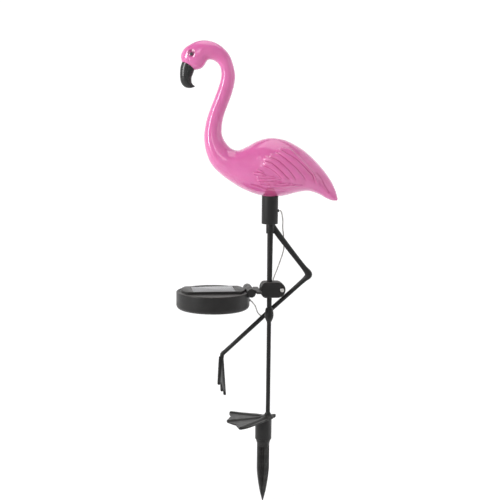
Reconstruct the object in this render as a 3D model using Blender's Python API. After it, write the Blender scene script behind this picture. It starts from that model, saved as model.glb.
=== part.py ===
# Solar flamingo garden light: a hollow pink flamingo lit from inside, standing on one black leg
# that ends in a ground stake, with its other leg drawn up and a solar panel clamped to the leg.
# Metres, +Z up. The flamingo looks along -X. The origin is on the standing leg's axis, at the
# ground line, which is the underside of its webbed foot. The stake is below it.

import math

import bmesh
import bpy
import numpy as np
from mathutils import Matrix, Vector

# Clearances
TOUCH_GAP = 0.0003  # between two pieces that rest on each other
SLIDE_GAP = 0.0003  # all round a rod or pin in its bore
CUT_PAST = 0.0050  # how far a cutting shape runs past the face that it opens

# Flamingo shell
SHELL_HEIGHT = 0.183  # from the belly's underside to the top of the head
SHELL_SIDES = 34
WING_STEP = 0.0006  # how far the grooves between the long feathers stand above the body
FEATHER_RELIEF = 0.0017  # from the groove to the crest of a feather
WING_SINK = 0.0012  # how far the wing's border goes down into the body

# Lamp socket under the belly
SOCKET_TOP = 0.268  # height of the belly's underside above the ground line
SOCKET_DIAMETER = 0.0192
SOCKET_LENGTH = 0.0327
SOCKET_OFFSET = -0.0007  # from the leg's axis, along X
SPIGOT_DIAMETER = 0.0150
SPIGOT_TIP_DIAMETER = 0.0064
SPIGOT_LENGTH = 0.0090
SPIGOT_STEP = 0.0010  # straight part of the spigot under its cone
SOCKET_EDGE = 0.0008
COLLAR_SETBACK = 0.0004  # of the belly's pink collar inside the socket's wall
COLLAR_RISE = 0.0060  # from the socket into the belly
LEG_SEAT_DEPTH = 0.0150

# Standing leg: an upper rod plugged into a knee cup on top of the lower leg
UPPER_LEG_TOP_DIAMETER = 0.0069
UPPER_LEG_END_DIAMETER = 0.0056
LOWER_LEG_DIAMETER = 0.0050
KNEE_HEIGHT = 0.1262  # middle of the cup
KNEE_LENGTH = 0.0172
KNEE_DIAMETER = 0.0106
KNEE_SEAT_DEPTH = 0.0140
KNEE_LIP = 0.0009  # wall round the cup's mouth
LEG_SIDES = 14

# Webbed foot and the ferrule moulded under it
WEB_THICKNESS = 0.0016
TOE_RIDGE_HEIGHT = 0.0016
TOE_RIDGE_WIDTH = 0.0056
FOOT_REACH = 0.0600  # from the leg's axis to the tip of the longest toe
FLARE_HEIGHT = 0.0066
FLARE_SPREAD = 0.0022
TOES = (160.0, 202.5, 235.5, 36.0)  # directions of the toes, in degrees
TOE_START = 0.0030  # from the leg's axis, where the toes' ridges begin to rise
TOE_FULL = 0.0090  # and where they have risen
WEB_RIM = 0.45  # height of the web's rounded rim, in shares of the web's own
FERRULE_DIAMETER = 0.0198
FERRULE_LENGTH = 0.0250
FERRULE_OFFSET = 0.0056
FERRULE_EDGE = 0.0012
FOOT_HEADING = math.radians(202.0)  # direction of the middle toe

# Ground stake
STAKE_LENGTH = 0.0776  # below the ferrule
STAKE_WIDTH = 0.0152
STAKE_BLADE = 0.0042
STAKE_NECK_LENGTH = 0.0045
STAKE_TAPER_START = 0.46  # share of the stake's length where its blades begin to narrow
STAKE_SPIGOT_DIAMETER = 0.0130
STAKE_SPIGOT_LENGTH = 0.0180
STAKE_TURN = math.radians(28.0)
STAKE_CONE_DEPTH = 0.0040  # of the cone's rounded underside below its edge
STAKE_CONE_EDGE = 0.0008  # height of its chamfer
STAKE_CONE_SETBACK = 0.0009  # of the cone's top inside the ferrule's wall
STAKE_TIP = 0.0008  # half the width of the point
STAKE_TAPER_RATE = 1.75
STAKE_TAPER_RUN = 1.35  # share of the length over which the blades' taper is eased
BLADE_ROOT = 0.08  # share of the length above which the blades are inside the cone
BLADE_SLIMMING = 0.62  # of a blade's half thickness, in its reach, near the point

# Raised leg
HIP_COLLAR_DIAMETER = 0.0098
HIP_COLLAR_HEIGHT = 0.0110
HIP_COLLAR_EDGE = 0.0006
THIGH_DIAMETER = 0.0070
SHIN_DIAMETER = 0.0053
ANKLE_DIAMETER = 0.0050
SHIN_CLEARANCE = 0.0005  # between the shin and the knee cup that it passes behind
RAISED_FOOT_LENGTH = 0.0405
RAISED_TOE_SPREAD = 0.0190
RAISED_ANKLE_SPREAD = 0.0020
RAISED_TOE_RELIEF = 0.0016
RAISED_WEB_THICKNESS = 0.0016
RAISED_TOE_PLACE = 0.88  # of the outer toes, in shares of the spread
RAISED_TOE_WIDTH = 0.15  # of a toe's ridge, in shares of the spread
NEAR_TOE_CUT = 0.36  # share by which the near outer toe is shorter
WEB_CUT = 0.14  # share by which the web between the toes ends short of them
RAISED_FOOT_DRIFT = 0.104  # along X from the ankle to the middle toe's tip, in foot lengths
RAISED_FOOT_CURL = 0.114  # of the outer toes towards the beak's side, in foot lengths
RAISED_SIDES = 8

# Solar panel
PANEL_DIAMETER = 0.0862
PANEL_HEIGHT = 0.0208
PANEL_RIM = 0.0030
PANEL_RECESS = 0.0040
PANEL_BASE_ROUNDING = 0.0052
PANEL_EDGE = 0.0010
PANEL_SIDES = 40
TOP_PLATE_THICKNESS = 0.0014
CELL_LENGTH = 0.0500
CELL_WIDTH = 0.0420
CELL_THICKNESS = 0.0010
CELL_STAND = 0.0005  # how far the cell window stands above the plate round it

# Hinge between the panel and the clamp's tongue
HINGE_DROP = 0.0013  # from the clamp's middle down to the hinge axis
HINGE_REACH = 0.0240  # from the leg's axis to the hinge axis
HINGE_LENGTH = 0.0400
HINGE_DIAMETER = 0.0102
LUG_WIDTH = 0.0125
PIN_DIAMETER = 0.0032
PIN_LENGTH = 0.0060
HINGE_SIDE_GAP = 0.0005
HINGE_CLEARANCE = 0.0008  # round the middle barrel, where the panel's wall is notched
LUG_WEB_REACH = 0.0035  # from the lug into the panel's wall
LUG_WEB_SETBACK = 0.0002  # of the web's faces behind the lug's own
PANEL_HEADING = math.radians(7.7)  # turn of the clamp and panel about the leg

# Clamp round the standing leg
CLAMP_HEIGHT = 0.0186
CLAMP_ABOVE_KNEE = 0.0133  # from the knee cup's rim up to the clamp
CLAMP_OUTER_REACH = 0.0182  # to its right end
CLAMP_INNER_REACH = 0.0110  # to its left end, where the tongue starts
CLAMP_HALF_DEPTH = 0.0080
CLAMP_CORNER = 0.0072
CLAMP_SPLIT = 0.0006
TONGUE_WIDTH = 0.0370
TONGUE_THICKNESS = 0.0028
TONGUE_ROOT = 0.0060
TONGUE_NOTCH = 0.0012  # between the hinge barrels and the tongue's wide part
TONGUE_CORNER = 0.0004  # between the tongue's wide part and the clamp
TONGUE_SETBACK = 0.0010  # of the tongue's root inside the clamp's back face
SCREW_REACH = 0.0139
SCREW_HEAD_DIAMETER = 0.0048
SCREW_HEAD_HEIGHT = 0.0014
SCREW_SHANK_DIAMETER = 0.0024
SCREW_LENGTH = 0.0130
SCREW_SINK = 0.0006
SCREW_EDGE = 0.0005
SLOT_WIDTH = 0.00064
SLOT_DEPTH = 0.0007

# Cable
CABLE_DIAMETER = 0.0015
GLAND_DIAMETER = 0.0032
GLAND_LENGTH = 0.0016
GLAND_ROOT = 0.0012  # how far the gland goes into the wall it stands on
GLAND_LIP = 0.0004
CABLE_LEAD = 0.0012  # straight length of cable out of each gland

# Worked out from the values above
SOCKET_BOTTOM = SOCKET_TOP - SOCKET_LENGTH
SOCKET_RADIUS = SOCKET_DIAMETER / 2
PANEL_RADIUS = PANEL_DIAMETER / 2
KNEE_TOP = KNEE_HEIGHT + KNEE_LENGTH / 2
CLAMP_BOTTOM = KNEE_TOP + CLAMP_ABOVE_KNEE
CLAMP_TOP = CLAMP_BOTTOM + CLAMP_HEIGHT
CLAMP_CENTRE_HEIGHT = (CLAMP_BOTTOM + CLAMP_TOP) / 2
HINGE_HEIGHT = CLAMP_CENTRE_HEIGHT - HINGE_DROP
PANEL_TOP = HINGE_HEIGHT
PANEL_BOTTOM = PANEL_TOP - PANEL_HEIGHT
PANEL_REACH = HINGE_REACH + PANEL_RADIUS
HINGE_RADIUS = HINGE_DIAMETER / 2
KNEE_FLOOR = KNEE_TOP - KNEE_SEAT_DEPTH
UPPER_LEG_START = KNEE_FLOOR + TOUCH_GAP
UPPER_LEG_END = SOCKET_BOTTOM + LEG_SEAT_DEPTH - TOUCH_GAP
FERRULE_PLACE = (
    FERRULE_OFFSET * math.cos(FOOT_HEADING),
    FERRULE_OFFSET * math.sin(FOOT_HEADING),
)
LEG_SPAN = SOCKET_BOTTOM - KNEE_HEIGHT  # the raised leg is drawn in shares of this

# The cable's route, down behind the standing leg and round a loop to the panel
CABLE_START = (SOCKET_OFFSET + SOCKET_RADIUS + GLAND_LENGTH, 0.0, SOCKET_TOP - 0.0172)
CABLE_ROUTE = (
    CABLE_START,
    (CABLE_START[0] + CABLE_LEAD, 0.0, CABLE_START[2]),
    (0.0128, 0.0006, 0.2494),
    (0.0141, 0.0030, 0.2445),
    (0.0149, 0.0058, 0.2380),
    (0.0150, 0.0079, 0.2290),
    (0.0160, 0.0092, 0.2210),
    (0.0167, 0.0102, 0.2064),
    (0.0154, 0.0104, 0.1989),
    (0.0128, 0.0102, 0.1907),
    (0.0089, 0.0100, 0.1796),
    (0.0058, 0.0104, 0.1713),
    (0.0040, 0.0108, 0.1650),
    (0.0030, 0.0110, 0.1570),
    (0.0022, 0.0112, 0.1470),
    (0.0012, 0.0124, 0.1385),
    (-0.0004, 0.0135, 0.1300),
)
LOOP_ROUTE = (
    (-0.0030, 0.0138, 0.1245),
    (-0.0065, 0.0130, 0.1222),
    (-0.0103, 0.0112, 0.1236),
    (-0.0134, 0.0088, 0.1272),
    (-0.0151, 0.0066, 0.1317),
    (-0.0167, 0.0044, 0.1362),
    (-0.0192, 0.0014, 0.1402),
)
PANEL_GLAND_WAY = (0.90, 0.10, -0.42)
PANEL_GLAND_MOUTH = (-HINGE_REACH + 0.0014, 0.0030, HINGE_HEIGHT - 0.0125)
PANEL_GLAND_AHEAD = tuple(a + CABLE_LEAD * b for a, b in zip(PANEL_GLAND_MOUTH, PANEL_GLAND_WAY))

# The flamingo's outline, drawn in millimetres for a shell 183 mm tall, from the middle of the
# belly's underside. Each row is one section from the beak's root to the tail's tip: the point on
# its upper or back edge, the point on its lower or front edge, and half its width.
DRAWN_HEIGHT = 183.0
SECTIONS = (
    (-103.6, 154.0, -88.4, 144.5, 6.4),
    (-104.5, 161.0, -81.6, 146.3, 8.6),
    (-101.0, 168.2, -77.4, 150.4, 10.2),
    (-94.4, 173.2, -75.8, 153.2, 10.8),
    (-85.6, 177.3, -73.6, 156.0, 10.2),
    (-76.0, 178.3, -70.6, 156.5, 9.4),
    (-65.1, 175.7, -67.0, 155.8, 8.8),
    (-55.3, 169.3, -62.5, 153.0, 8.2),
    (-47.7, 159.8, -59.3, 148.3, 7.8),
    (-42.8, 144.2, -58.0, 141.5, 7.6),
    (-42.4, 132.5, -58.8, 133.5, 7.7),
    (-46.2, 116.5, -62.8, 120.3, 8.0),
    (-55.0, 92.2, -72.7, 94.1, 8.5),
    (-57.2, 76.2, -76.8, 76.2, 9.4),
    (-55.7, 67.5, -77.3, 63.3, 10.6),
    (-51.0, 59.7, -74.6, 49.4, 12.4),
    (-45.2, 54.6, -69.3, 37.2, 14.4),
    (-37.6, 53.0, -59.9, 26.8, 16.8),
    (-27.7, 57.1, -46.1, 16.5, 20.4),
    (-15.0, 63.9, -28.2, 6.4, 24.4),
    (-1.1, 67.4, -8.2, 0.2, 26.8),
    (15.2, 65.6, 12.8, 0.0, 26.4),
    (31.6, 58.0, 30.7, 4.5, 23.4),
    (45.7, 47.7, 44.3, 6.3, 19.2),
    (59.4, 33.7, 56.1, 3.3, 14.0),
    (70.2, 19.4, 65.5, -1.7, 8.8),
    (76.3, 7.2, 72.6, -4.3, 4.8),
    (79.2, -2.7, 78.1, -4.6, 1.2),
)
SECTION_LEAN = 0.10  # how much wider a section is below its middle than above it
SIDE_CROWDING = 0.22  # brings the sections' points closer together on the flanks
RING_MARKS = (0, 17, 25, 27)  # the neck's foot, the wing tip and the tail's tip, in sections
RING_COUNTS = (19, 16, 4)  # rings between those marks

# Long wing feathers: the grooves beside them run round one point of the drawing. Each has its
# radius at the shoulder and at the feather's tip, in the drawing's millimetres, and then the
# angle at the shoulder and at the tip.
WING_CENTRE = (-24.5, -6.0)
GROOVES = (
    (45.8, 46.7, 68, 41),
    (51.4, 54.6, 69, 28),
    (57.4, 60.2, 69, 25),
    (64.6, 70.6, 63, 21),
    (70.4, 79.4, 58, 17),
    (75.6, 82.6, 56, 16),
)
FEATHER_ROUNDING = 2.6  # degrees that a crest runs on past the grooves beside it
WING_BORDER = 1.6  # millimetres of the drawing between the last groove and the sunk border
FEATHER_STEPS = 8
FEATHER_END = 0.12  # share of a half wave that a feather's crest has risen by at its ends
BEAK_INSET = 0.03  # share by which the beak's root is smaller than the shell's face there


def clear_scene():
    for old in list(bpy.data.objects):
        bpy.data.objects.remove(old, do_unlink=True)


def plastic(name, colour, roughness, metallic=0.0):
    material = bpy.data.materials.new(name)
    material.use_nodes = True
    shader = material.node_tree.nodes["Principled BSDF"]
    shader.inputs["Base Color"].default_value = (*colour, 1.0)
    shader.inputs["Roughness"].default_value = roughness
    shader.inputs["Metallic"].default_value = metallic
    return material


def add_mesh(name, points, faces, material=None):
    mesh = bpy.data.meshes.new(name)
    mesh.from_pydata([tuple(point) for point in points], [], [tuple(face) for face in faces])
    solid = bmesh.new()
    solid.from_mesh(mesh)
    bmesh.ops.recalc_face_normals(solid, faces=solid.faces)
    solid.to_mesh(mesh)
    solid.free()
    mesh.shade_smooth()
    mesh.set_sharp_from_angle(angle=math.radians(40))
    obj = bpy.data.objects.new(name, mesh)
    bpy.context.scene.collection.objects.link(obj)
    if material:
        mesh.materials.append(material)
    return obj


def loft(name, rings, material=None):
    # A closed skin over a row of rings that all have as many points.
    rings = np.asarray(rings, float)
    count, sides, _ = rings.shape
    faces = []
    for ring in range(count - 1):
        for side in range(sides):
            after = (side + 1) % sides
            a, b = ring * sides + side, ring * sides + after
            faces.append((a, b, b + sides, a + sides))
    faces.append(tuple(range(sides))[::-1])
    faces.append(tuple(range((count - 1) * sides, count * sides)))
    return add_mesh(name, rings.reshape(-1, 3), faces, material)


def circle(radius, height, sides, centre=(0.0, 0.0)):
    angle = np.arange(sides) * 2 * math.pi / sides
    return np.stack(
        [
            centre[0] + radius * np.cos(angle),
            centre[1] + radius * np.sin(angle),
            np.full(sides, height),
        ],
        axis=1,
    )


def turned(name, profile, sides, material=None, centre=(0.0, 0.0)):
    # A solid turned about an upright axis, from (radius, height) pairs.
    return loft(name, [circle(r, z, sides, centre) for r, z in profile], material)


def prism(name, outline, start, end, material=None):
    # An outline in the XZ plane, extruded along Y.
    rings = [[(x, y, z) for x, z in outline] for y in (start, end)]
    return loft(name, rings, material)


def slab(name, outline, bottom, top, material=None):
    # An outline in the XY plane, extruded along Z.
    rings = [[(x, y, z) for x, y in outline] for z in (bottom, top)]
    return loft(name, rings, material)


def barrel(name, radius, start, end, sides, x, z, material=None):
    # A cylinder along Y.
    angle = np.arange(sides) * 2 * math.pi / sides
    outline = [(x + radius * math.cos(a), z + radius * math.sin(a)) for a in angle]
    return prism(name, outline, start, end, material)


def tube(name, path, radii, sides, material=None):
    # Rings square to a path. Each ring's frame is carried on from the ring before it.
    path = np.asarray(path, float)
    along = np.gradient(path, axis=0)
    along /= np.linalg.norm(along, axis=1)[:, None]
    across = np.cross(along[0], (0.0, 1.0, 0.0))
    angle = np.arange(sides) * 2 * math.pi / sides
    rings = []
    for place, way, radius in zip(path, along, radii):
        across = across - way * np.dot(across, way)
        across /= np.linalg.norm(across)
        other = np.cross(way, across)
        ring = np.outer(np.cos(angle), across) + np.outer(np.sin(angle), other)
        rings.append(place + radius * ring)
    return loft(name, rings, material)


def smooth_path(points, count):
    # A Catmull-Rom curve through the points, read at even steps of the points' own count.
    points = np.asarray(points, float)
    padded = np.vstack([2 * points[0] - points[1], points, 2 * points[-1] - points[-2]])
    at = np.linspace(0, len(points) - 1, count)
    start = np.minimum(at.astype(int), len(points) - 2)
    t = (at - start)[:, None]
    p0, p1, p2, p3 = (padded[start + k] for k in range(4))
    return 0.5 * (
        2 * p1
        + (p2 - p0) * t
        + (2 * p0 - 5 * p1 + 4 * p2 - p3) * t**2
        + (3 * p1 - p0 - 3 * p2 + p3) * t**3
    )


def boolean(obj, other, operation):
    # The other shape is joined to the object or cut from it, and then removed.
    modifier = obj.modifiers.new(operation.title(), "BOOLEAN")
    modifier.operation = operation
    modifier.solver = "EXACT"
    modifier.object = other
    graph = bpy.context.evaluated_depsgraph_get()
    graph.update()
    result = bpy.data.meshes.new_from_object(obj.evaluated_get(graph))
    obj.modifiers.clear()
    spent = obj.data
    obj.data = result
    result.name = spent.name
    bpy.data.meshes.remove(spent)
    bpy.data.objects.remove(other, do_unlink=True)


def join(obj, other):
    boolean(obj, other, "UNION")


def cut(obj, other):
    boolean(obj, other, "DIFFERENCE")


def ease(value, low, high):
    # 0 below low, 1 above high and a smooth step between them.
    t = np.clip((value - low) / (high - low), 0, 1)
    return t * t * (3 - 2 * t)


# Flamingo


def section_points(rows, turn):
    # Points round each section, and the outward way at each, in the drawing's millimetres.
    back, front, half_width = rows[:, None, 0:2], rows[:, None, 2:4], rows[:, None, 4:5]
    up, side = np.cos(turn)[:, None], np.sin(turn)[:, None]
    half = (back - front) / 2
    flat = (back + front) / 2 + half * up
    y = half_width * side * (1 - SECTION_LEAN * up)
    reach = np.linalg.norm(half, axis=2, keepdims=True)
    flat_out = half / reach**2 * up
    out = np.concatenate([flat_out[..., :1], side / half_width, flat_out[..., 1:]], axis=2)
    out /= np.linalg.norm(out, axis=2, keepdims=True)
    return np.concatenate([flat[..., :1], y, flat[..., 1:]], axis=2), out


def from_drawing(points):
    scale = SHELL_HEIGHT / DRAWN_HEIGHT
    return np.asarray(points) * scale + np.array([SOCKET_OFFSET, 0, SOCKET_TOP])


def make_flamingo(material):
    fine = 60  # readings of the smooth outline in each step between two sections
    rows = smooth_path(SECTIONS, (len(SECTIONS) - 1) * fine + 1)
    turn = np.arange(SHELL_SIDES) * 2 * math.pi / SHELL_SIDES
    turn = turn + SIDE_CROWDING * np.sin(2 * turn)
    places = [
        np.linspace(a, b, n, endpoint=False) for a, b, n in zip(RING_MARKS, RING_MARKS[1:], RING_COUNTS)
    ]
    places = np.append(np.concatenate(places), RING_MARKS[-1])
    points, _ = section_points(rows[np.round(places * fine).astype(int)], turn)
    shell = loft("flamingo_shell", from_drawing(points), material)
    for side in (-1, 1):
        join(shell, make_wing(rows, side))
    flat_seat = turned(
        "belly_seat",
        [
            (SOCKET_RADIUS + GLAND_ROOT, SOCKET_TOP - CUT_PAST),
            (SOCKET_RADIUS + GLAND_ROOT, SOCKET_TOP + TOUCH_GAP),
        ],
        24,
        centre=(SOCKET_OFFSET, 0),
    )
    cut(shell, flat_seat)
    collar = turned(
        "belly_collar",
        [
            (SOCKET_RADIUS - COLLAR_SETBACK, SOCKET_TOP + TOUCH_GAP),
            (SOCKET_RADIUS - COLLAR_SETBACK, SOCKET_TOP + COLLAR_RISE),
        ],
        24,
        centre=(SOCKET_OFFSET, 0),
    )
    join(shell, collar)
    recess = turned(
        "spigot_recess",
        [
            (SPIGOT_DIAMETER / 2 + SLIDE_GAP, SOCKET_TOP - CUT_PAST),
            (SPIGOT_DIAMETER / 2 + SLIDE_GAP, SOCKET_TOP + SPIGOT_STEP),
            (SPIGOT_TIP_DIAMETER / 2 + SLIDE_GAP, SOCKET_TOP + SPIGOT_LENGTH + SLIDE_GAP),
        ],
        16,
        centre=(SOCKET_OFFSET, 0),
    )
    cut(shell, recess)
    return shell


def make_wing(rows, side):
    # Five long feathers side by side, each a crest between two grooves, as one patch that lies on
    # the body's flank. The patch is a grid of grooves and crests by steps along the feathers, and
    # its border and its inner face are inside the body.
    near_radii, far_radii, shoulders, tips = np.array(GROOVES, float).T
    place = np.arange(2 * len(GROOVES) - 1) / 2
    crest = (place % 1 > 0) * 1.0
    groove = np.arange(len(GROOVES))
    near = np.interp(place, groove, near_radii)
    far = np.interp(place, groove, far_radii)
    first = np.interp(place, groove, shoulders) + crest * FEATHER_ROUNDING
    last = np.interp(place, groove, tips) - crest * FEATHER_ROUNDING
    share = np.linspace(0, 1, FEATHER_STEPS)
    angle = first[:, None] + share * (last - first)[:, None]
    swell = np.sin(math.pi * (FEATHER_END + (1 - 2 * FEATHER_END) * share)) ** 0.5
    height = WING_STEP + FEATHER_RELIEF * crest[:, None] * swell
    ring = near[:, None] + share * (far - near)[:, None]
    angle = np.pad(angle, 1, mode="edge")
    angle[:, 0] += FEATHER_ROUNDING
    angle[:, -1] -= FEATHER_ROUNDING
    ring = np.pad(ring, 1, mode="edge")
    ring[0] -= WING_BORDER
    ring[-1] += WING_BORDER
    height = np.pad(height, 1, constant_values=-WING_SINK)
    x = WING_CENTRE[0] + ring * np.cos(np.radians(angle))
    z = WING_CENTRE[1] + ring * np.sin(np.radians(angle))
    body, out = section_points(rows, np.linspace(0, math.pi, 91))
    body, out = body.reshape(-1, 3), out.reshape(-1, 3)
    away = (body[:, 0] - x.reshape(-1, 1)) ** 2 + (body[:, 2] - z.reshape(-1, 1)) ** 2
    nearest = np.argmin(away, axis=1)
    outer = from_drawing(body[nearest]) + out[nearest] * height.reshape(-1, 1)
    inner = from_drawing(body[nearest]) - out[nearest] * 3 * WING_SINK
    points = np.vstack([outer, inner]) * (1, side, 1)
    count, steps = ring.shape
    grid = np.arange(count * steps).reshape(count, steps)
    quads = np.stack([grid[:-1, :-1], grid[1:, :-1], grid[1:, 1:], grid[:-1, 1:]], axis=-1)
    quads = quads.reshape(-1, 4)
    around = np.concatenate([grid[0, :-1], grid[:-1, -1], grid[-1, :0:-1], grid[:0:-1, 0]])
    onward = np.roll(around, -1)
    walls = np.stack([around, onward, onward + grid.size, around + grid.size], axis=1)
    faces = np.vstack([quads, quads[:, ::-1] + grid.size, walls])
    return add_mesh("wing", points.tolist(), faces.tolist())


def make_beak(material):
    # Sections to the hooked tip, from a root that faces the shell's first section.
    back_x, back_z, front_x, front_z, half_width = SECTIONS[0]
    sections = (
        (
            back_x + BEAK_INSET * (front_x - back_x),
            back_z + BEAK_INSET * (front_z - back_z),
            front_x + BEAK_INSET * (back_x - front_x),
            front_z + BEAK_INSET * (back_z - front_z),
            half_width * (1 - BEAK_INSET),
        ),
        (-104.9, 148.0, -90.3, 140.6, 6.2),
        (-105.5, 140.7, -92.0, 136.0, 5.9),
        (-105.0, 133.5, -91.9, 131.0, 5.2),
        (-103.1, 128.4, -90.6, 128.4, 4.4),
        (-99.4, 125.1, -89.4, 127.4, 3.2),
        (-95.0, 124.1, -88.4, 126.6, 2.0),
        (-91.2, 124.4, -87.9, 126.0, 0.8),
    )
    scale = SHELL_HEIGHT / DRAWN_HEIGHT
    root = np.array([sections[0][0] - sections[0][2], sections[0][1] - sections[0][3]])
    away = np.array([-root[1], root[0]]) / np.linalg.norm(root) * TOUCH_GAP / scale
    turn = np.arange(14) * 2 * math.pi / 14
    points, _ = section_points(smooth_path(sections, 11), turn)
    return loft("beak", from_drawing(points + (away[0], 0, away[1])), material)


# Socket and legs


def make_socket(material):
    spigot = SPIGOT_DIAMETER / 2
    socket = turned(
        "lamp_socket",
        [
            (SOCKET_RADIUS - SOCKET_EDGE, SOCKET_BOTTOM),
            (SOCKET_RADIUS, SOCKET_BOTTOM + SOCKET_EDGE),
            (SOCKET_RADIUS, SOCKET_TOP),
            (spigot, SOCKET_TOP),
            (spigot, SOCKET_TOP + SPIGOT_STEP - SLIDE_GAP),
            (SPIGOT_TIP_DIAMETER / 2, SOCKET_TOP + SPIGOT_LENGTH - SLIDE_GAP),
        ],
        24,
        material,
        (SOCKET_OFFSET, 0),
    )
    seat = turned(
        "leg_seat",
        [
            (UPPER_LEG_TOP_DIAMETER / 2 + SLIDE_GAP, SOCKET_BOTTOM - CUT_PAST),
            (UPPER_LEG_TOP_DIAMETER / 2 + SLIDE_GAP, SOCKET_BOTTOM + LEG_SEAT_DEPTH),
        ],
        LEG_SIDES,
    )
    cut(socket, seat)
    gland = loft("gland", gland_rings(CABLE_START, (1.0, 0.0, 0.0)))
    join(socket, gland)
    return socket


def gland_rings(mouth, way):
    # A short sleeve whose mouth is at the point where the cable comes out of it.
    way = np.array(way, float) / np.linalg.norm(way)
    across = np.cross(way, (0.0, 1.0, 0.0))
    across /= np.linalg.norm(across)
    other = np.cross(way, across)
    angle = np.arange(10) * 2 * math.pi / 10
    ring = np.outer(np.cos(angle), across) + np.outer(np.sin(angle), other)
    mouth = np.array(mouth, float) - way * TOUCH_GAP
    back = mouth - way * (GLAND_LENGTH + GLAND_ROOT)
    ring = ring * GLAND_DIAMETER / 2
    lip = GLAND_LIP / (GLAND_DIAMETER / 2)
    return [back + ring, mouth - way * GLAND_LIP + ring, mouth + ring * (1 - lip)]


def upper_leg_radius(height):
    share = (height - KNEE_TOP) / (SOCKET_BOTTOM - KNEE_TOP)
    share = min(max(share, 0.0), 1.0)
    return (UPPER_LEG_END_DIAMETER + share * (UPPER_LEG_TOP_DIAMETER - UPPER_LEG_END_DIAMETER)) / 2


def make_upper_leg(material):
    heights = (UPPER_LEG_START, KNEE_TOP, SOCKET_BOTTOM, UPPER_LEG_END)
    profile = [(upper_leg_radius(z), z) for z in heights]
    return turned("upper_leg", profile, LEG_SIDES, material)


def foot_outline(turn):
    # Distance of the web's edge from the leg, as shares of the longest toe, round the foot.
    marks = (
        (0, 0.115),
        (36, 0.205),
        (62, 0.13),
        (100, 0.14),
        (124, 0.21),
        (145, 0.45),
        (154, 0.72),
        (160, 0.825),
        (166, 0.80),
        (177, 0.74),
        (190, 0.80),
        (199, 0.87),
        (203, 0.885),
        (208, 0.87),
        (221, 0.84),
        (230, 0.92),
        (236, 1.0),
        (240, 0.88),
        (246, 0.50),
        (257, 0.27),
        (276, 0.165),
        (305, 0.12),
        (335, 0.115),
        (360, 0.115),
    )
    angles, shares = np.array(marks).T
    return np.interp(np.degrees(turn) % 360, angles, shares) * FOOT_REACH


def foot_height(x, y):
    # The web's upper face: a flat web, a rounded ridge along each toe and a flare up to the leg.
    distance = np.hypot(x, y)
    height = np.full_like(distance, WEB_THICKNESS)
    for toe in TOES:
        way = np.array([math.cos(math.radians(toe)), math.sin(math.radians(toe))])
        ahead = x * way[0] + y * way[1]
        off = np.abs(-x * way[1] + y * way[0])
        ridge = np.sqrt(np.clip(1 - (off / (TOE_RIDGE_WIDTH / 2)) ** 2, 0, 1))
        height = height + TOE_RIDGE_HEIGHT * ridge * (ahead > 0) * ease(distance, TOE_START, TOE_FULL)
    leg = LOWER_LEG_DIAMETER / 2
    return height + FLARE_HEIGHT * np.exp(-np.clip(distance - leg, 0, None) / FLARE_SPREAD)


def make_lower_leg(material):
    # The lower rod, the knee cup on it, the webbed foot and the ferrule are one moulding.
    leg = LOWER_LEG_DIAMETER / 2
    knee = KNEE_DIAMETER / 2
    mouth = UPPER_LEG_END_DIAMETER / 2 + SLIDE_GAP + KNEE_LIP
    half = KNEE_LENGTH / 2
    profile = [(leg, WEB_THICKNESS / 2), (leg, KNEE_HEIGHT - half)]
    for share in (-0.75, -0.5, -0.25, 0.0, 0.25, 0.5, 0.75, 1.0):
        end = leg if share < 0 else mouth
        bulge = end + (knee - end) * math.cos(share * math.pi / 2)
        profile.append((bulge, KNEE_HEIGHT + share * half))
    lower = turned("lower_leg_and_foot", profile, LEG_SIDES, material)
    seat = turned(
        "knee_seat",
        [
            (UPPER_LEG_END_DIAMETER / 2 + SLIDE_GAP, KNEE_FLOOR),
            (UPPER_LEG_END_DIAMETER / 2 + SLIDE_GAP, KNEE_TOP + CUT_PAST),
        ],
        LEG_SIDES,
    )
    cut(lower, seat)
    turn = np.concatenate([np.arange(0, 144, 18), np.arange(144, 250, 4.42), np.arange(250, 358, 18)])
    turn = np.radians(turn)
    edge = foot_outline(turn)
    rings = [np.stack([edge * np.cos(turn), edge * np.sin(turn), np.zeros_like(turn)], axis=1)]
    for share in (1.0, 0.94, 0.78, 0.58, 0.38, 0.22, 0.0):
        reach = leg * 0.8 + (edge - leg * 0.8) * share
        x, y = reach * np.cos(turn), reach * np.sin(turn)
        height = foot_height(x, y)
        if share == 1.0:
            height = height * WEB_RIM
        rings.append(np.stack([x, y, height], axis=1))
    join(lower, loft("web", rings))
    radius = FERRULE_DIAMETER / 2
    ferrule = turned(
        "ferrule",
        [
            (radius - FERRULE_EDGE, -FERRULE_LENGTH),
            (radius, -FERRULE_LENGTH + FERRULE_EDGE),
            (radius, WEB_THICKNESS / 4),
            (radius - FERRULE_EDGE, WEB_THICKNESS / 2),
        ],
        24,
        centre=FERRULE_PLACE,
    )
    join(lower, ferrule)
    bore = turned(
        "stake_bore",
        [
            (STAKE_SPIGOT_DIAMETER / 2 + SLIDE_GAP, -FERRULE_LENGTH - CUT_PAST),
            (STAKE_SPIGOT_DIAMETER / 2 + SLIDE_GAP, -FERRULE_LENGTH + STAKE_SPIGOT_LENGTH),
        ],
        20,
        centre=FERRULE_PLACE,
    )
    cut(lower, bore)
    return lower


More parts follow.
